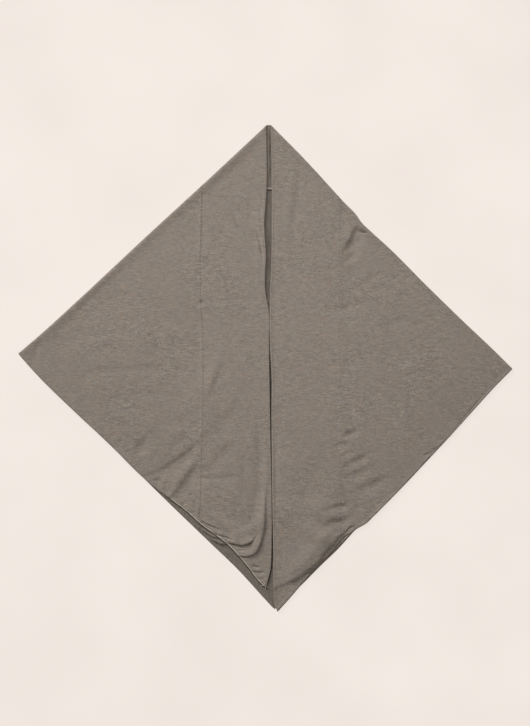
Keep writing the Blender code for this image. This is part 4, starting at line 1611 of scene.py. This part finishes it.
    def thread_ends(self) -> bpy.types.Object:
        """Makes the short loose ends at the left flap's tip and where its seam meets the hem.

        Returns:
            The loose ends' object.
        """
        tubes = Tubes()
        random = np.random.default_rng(17)
        long_half = self.cloth.half_long_edge
        seam_end = long_half - self.cloth.band_width
        for u, v, count, length in (
            (-long_half + 0.004, 0.002, 5, 0.009),
            (-seam_end + 0.001, self.cloth.band_width - 0.001, 3, 0.005),
        ):
            start = self.cloth.face(np.array([u]), np.array([v]), 0.0003)[0]
            for _ in range(count):
                heading = random.uniform(0, 2 * math.pi)
                bend = random.uniform(-self.loose_end_bend, self.loose_end_bend)
                t = np.linspace(0.0, 1.0, self.end_points)
                turn = heading + bend * t
                step = length * random.uniform(0.6, 1.0) / len(t)
                x, y = np.cumsum(np.cos(turn)) * step, np.cumsum(np.sin(turn)) * step
                path = np.column_stack([x, y, self.loose_end_rise * np.sin(t * 2.4)])
                tubes.add(start + path, self.loose_end_radius)
        return tubes.build("thread_ends", self.loose_thread)


@dataclass
class Studio:
    """The table, the soft light and the camera straight above."""

    table_size: float = 7.0
    table_drop: float = 0.0002
    lens: float = 85.0
    sensor: float = 36.0
    sight: float = 50.0
    picture_height: float = 1.3504
    picture_centre: Spot = (-0.0004, 0.0100)
    key_strength: float = 3.22
    key_from: Triple = (-0.570, 0.858, 0.48)
    key_angle: float = 24.0
    top_power: float = 7.6
    top_size: float = 0.9
    top_place: Triple = (-0.10, 0.31, 1.15)
    fill_strength: float = 0.25

    def lay_table(self) -> bpy.types.Object:
        """Makes the table's top.

        Returns:
            The table.
        """
        half = self.table_size / 2
        corners = np.array([(-half, -half), (half, -half), (half, half), (-half, half)])
        places = np.column_stack([corners, np.full(4, -self.table_drop)])
        table = add_mesh("table", places, [(0, 1, 2, 3)], [TableFinish().make()])
        table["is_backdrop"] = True
        return table

    def light(self) -> None:
        """Adds a broad light from the upper left, a soft one overhead and an even fill."""
        lamp = bpy.data.lights.new("key", "SUN")
        lamp.energy = self.key_strength
        lamp.angle = math.radians(self.key_angle)
        key = add_object("key", lamp)
        x, y, z = self.key_from
        key.rotation_euler = (math.atan2(math.hypot(x, y), z), 0.0, math.atan2(y, x) + math.pi / 2)
        panel = bpy.data.lights.new("top", "AREA")
        panel.shape, panel.size, panel.energy = "DISK", self.top_size, self.top_power
        add_object("top", panel).location = self.top_place
        world = bpy.data.worlds.new("studio")
        world.use_nodes = True
        backdrop = world.node_tree.nodes["Background"]
        backdrop.inputs["Color"].default_value = (1.0, 1.0, 1.0, 1.0)
        backdrop.inputs["Strength"].default_value = self.fill_strength
        bpy.context.scene.world = world
        bpy.context.scene.view_settings.view_transform = "Standard"

    def aim_camera(self) -> None:
        """Adds the camera, looking straight down at the middle of the picture."""
        lens = bpy.data.cameras.new("above")
        lens.lens, lens.sensor_width = self.lens, self.sensor
        lens.clip_end = self.sight
        camera = add_object("above", lens)
        camera.location = (*self.picture_centre, self.picture_height * self.lens / self.sensor)
        bpy.context.scene.camera = camera


def report(piece: bpy.types.Object) -> None:
    """Logs a piece's name, size and number of triangles.

    Args:
        piece: The piece.
    """
    triangles = sum(len(face.vertices) - 2 for face in piece.data.polygons)
    size = " x ".join(f"{length / MM:.1f}" for length in piece.dimensions)
    LOG.info("%s: %s mm, %d triangles", piece.name, size, triangles)


def main() -> None:
    """Builds the garment and the studio."""
    logging.basicConfig(level=logging.INFO, format="%(message)s")
    cloth = FoldedCloth()
    main_right = JerseyFinish("main_jersey_right_side", (0.2290, 0.1960, 0.1570))
    # The wrong side's own darker tone, set a little darker still as painted shade for the gap between the
    # flaps.
    main_wrong = JerseyFinish("main_jersey_wrong_side", (0.156, 0.133, 0.105), wrong_side=True)
    band_right = JerseyFinish("band_jersey_right_side", (0.2300, 0.1970, 0.1580))
    band_wrong = JerseyFinish("band_jersey_wrong_side", (0.182, 0.157, 0.125), wrong_side=True)
    cut = (cloth, *CutPattern(cloth).divide())
    main_panel = ClothPanel("main_cloth", Panel.MAIN, *cut, main_right, main_wrong).build()
    band_panel = ClothPanel("band_cloth", Panel.BAND, *cut, band_right, band_wrong).build()

    sewing = Sewing(cloth)
    # A finish lighter than the wrong side: a painted highlight on the seam allowance's ridge.
    allowance_highlight = JerseyFinish("allowance_painted_highlight", (0.330, 0.295, 0.245), wrong_side=True)
    allowance = sewing.seam_allowance(allowance_highlight)
    allowance_shadow = sewing.painted_shadow_below_allowance()
    seam = sewing.seam_stitches()
    main_hem = sewing.hem_stitches(Panel.MAIN)
    band_hem = sewing.hem_stitches(Panel.BAND)
    ends = sewing.thread_ends()
    hem_painted_highlight, hem_shadow_line, inner_edge_shadow_line = sewing.left_flap_edges()
    nubs = sewing.nubs()
    details = [allowance, allowance_shadow, seam, main_hem, ends, hem_painted_highlight, hem_shadow_line, nubs]

    for piece in (main_panel, band_panel, *details, band_hem, inner_edge_shadow_line):
        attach(piece, "root")
        report(piece)
    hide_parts("main_panel")
    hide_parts("band_panel")

    studio = Studio()
    report(studio.lay_table())
    studio.light()
    studio.aim_camera()
    boxes = {"cad": CAD_BOX, "visual": [list(corner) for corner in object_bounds()]}
    LOG.info("CAD box %s, visual box %s", *boxes.values())


if __name__ == "__main__":
    main()
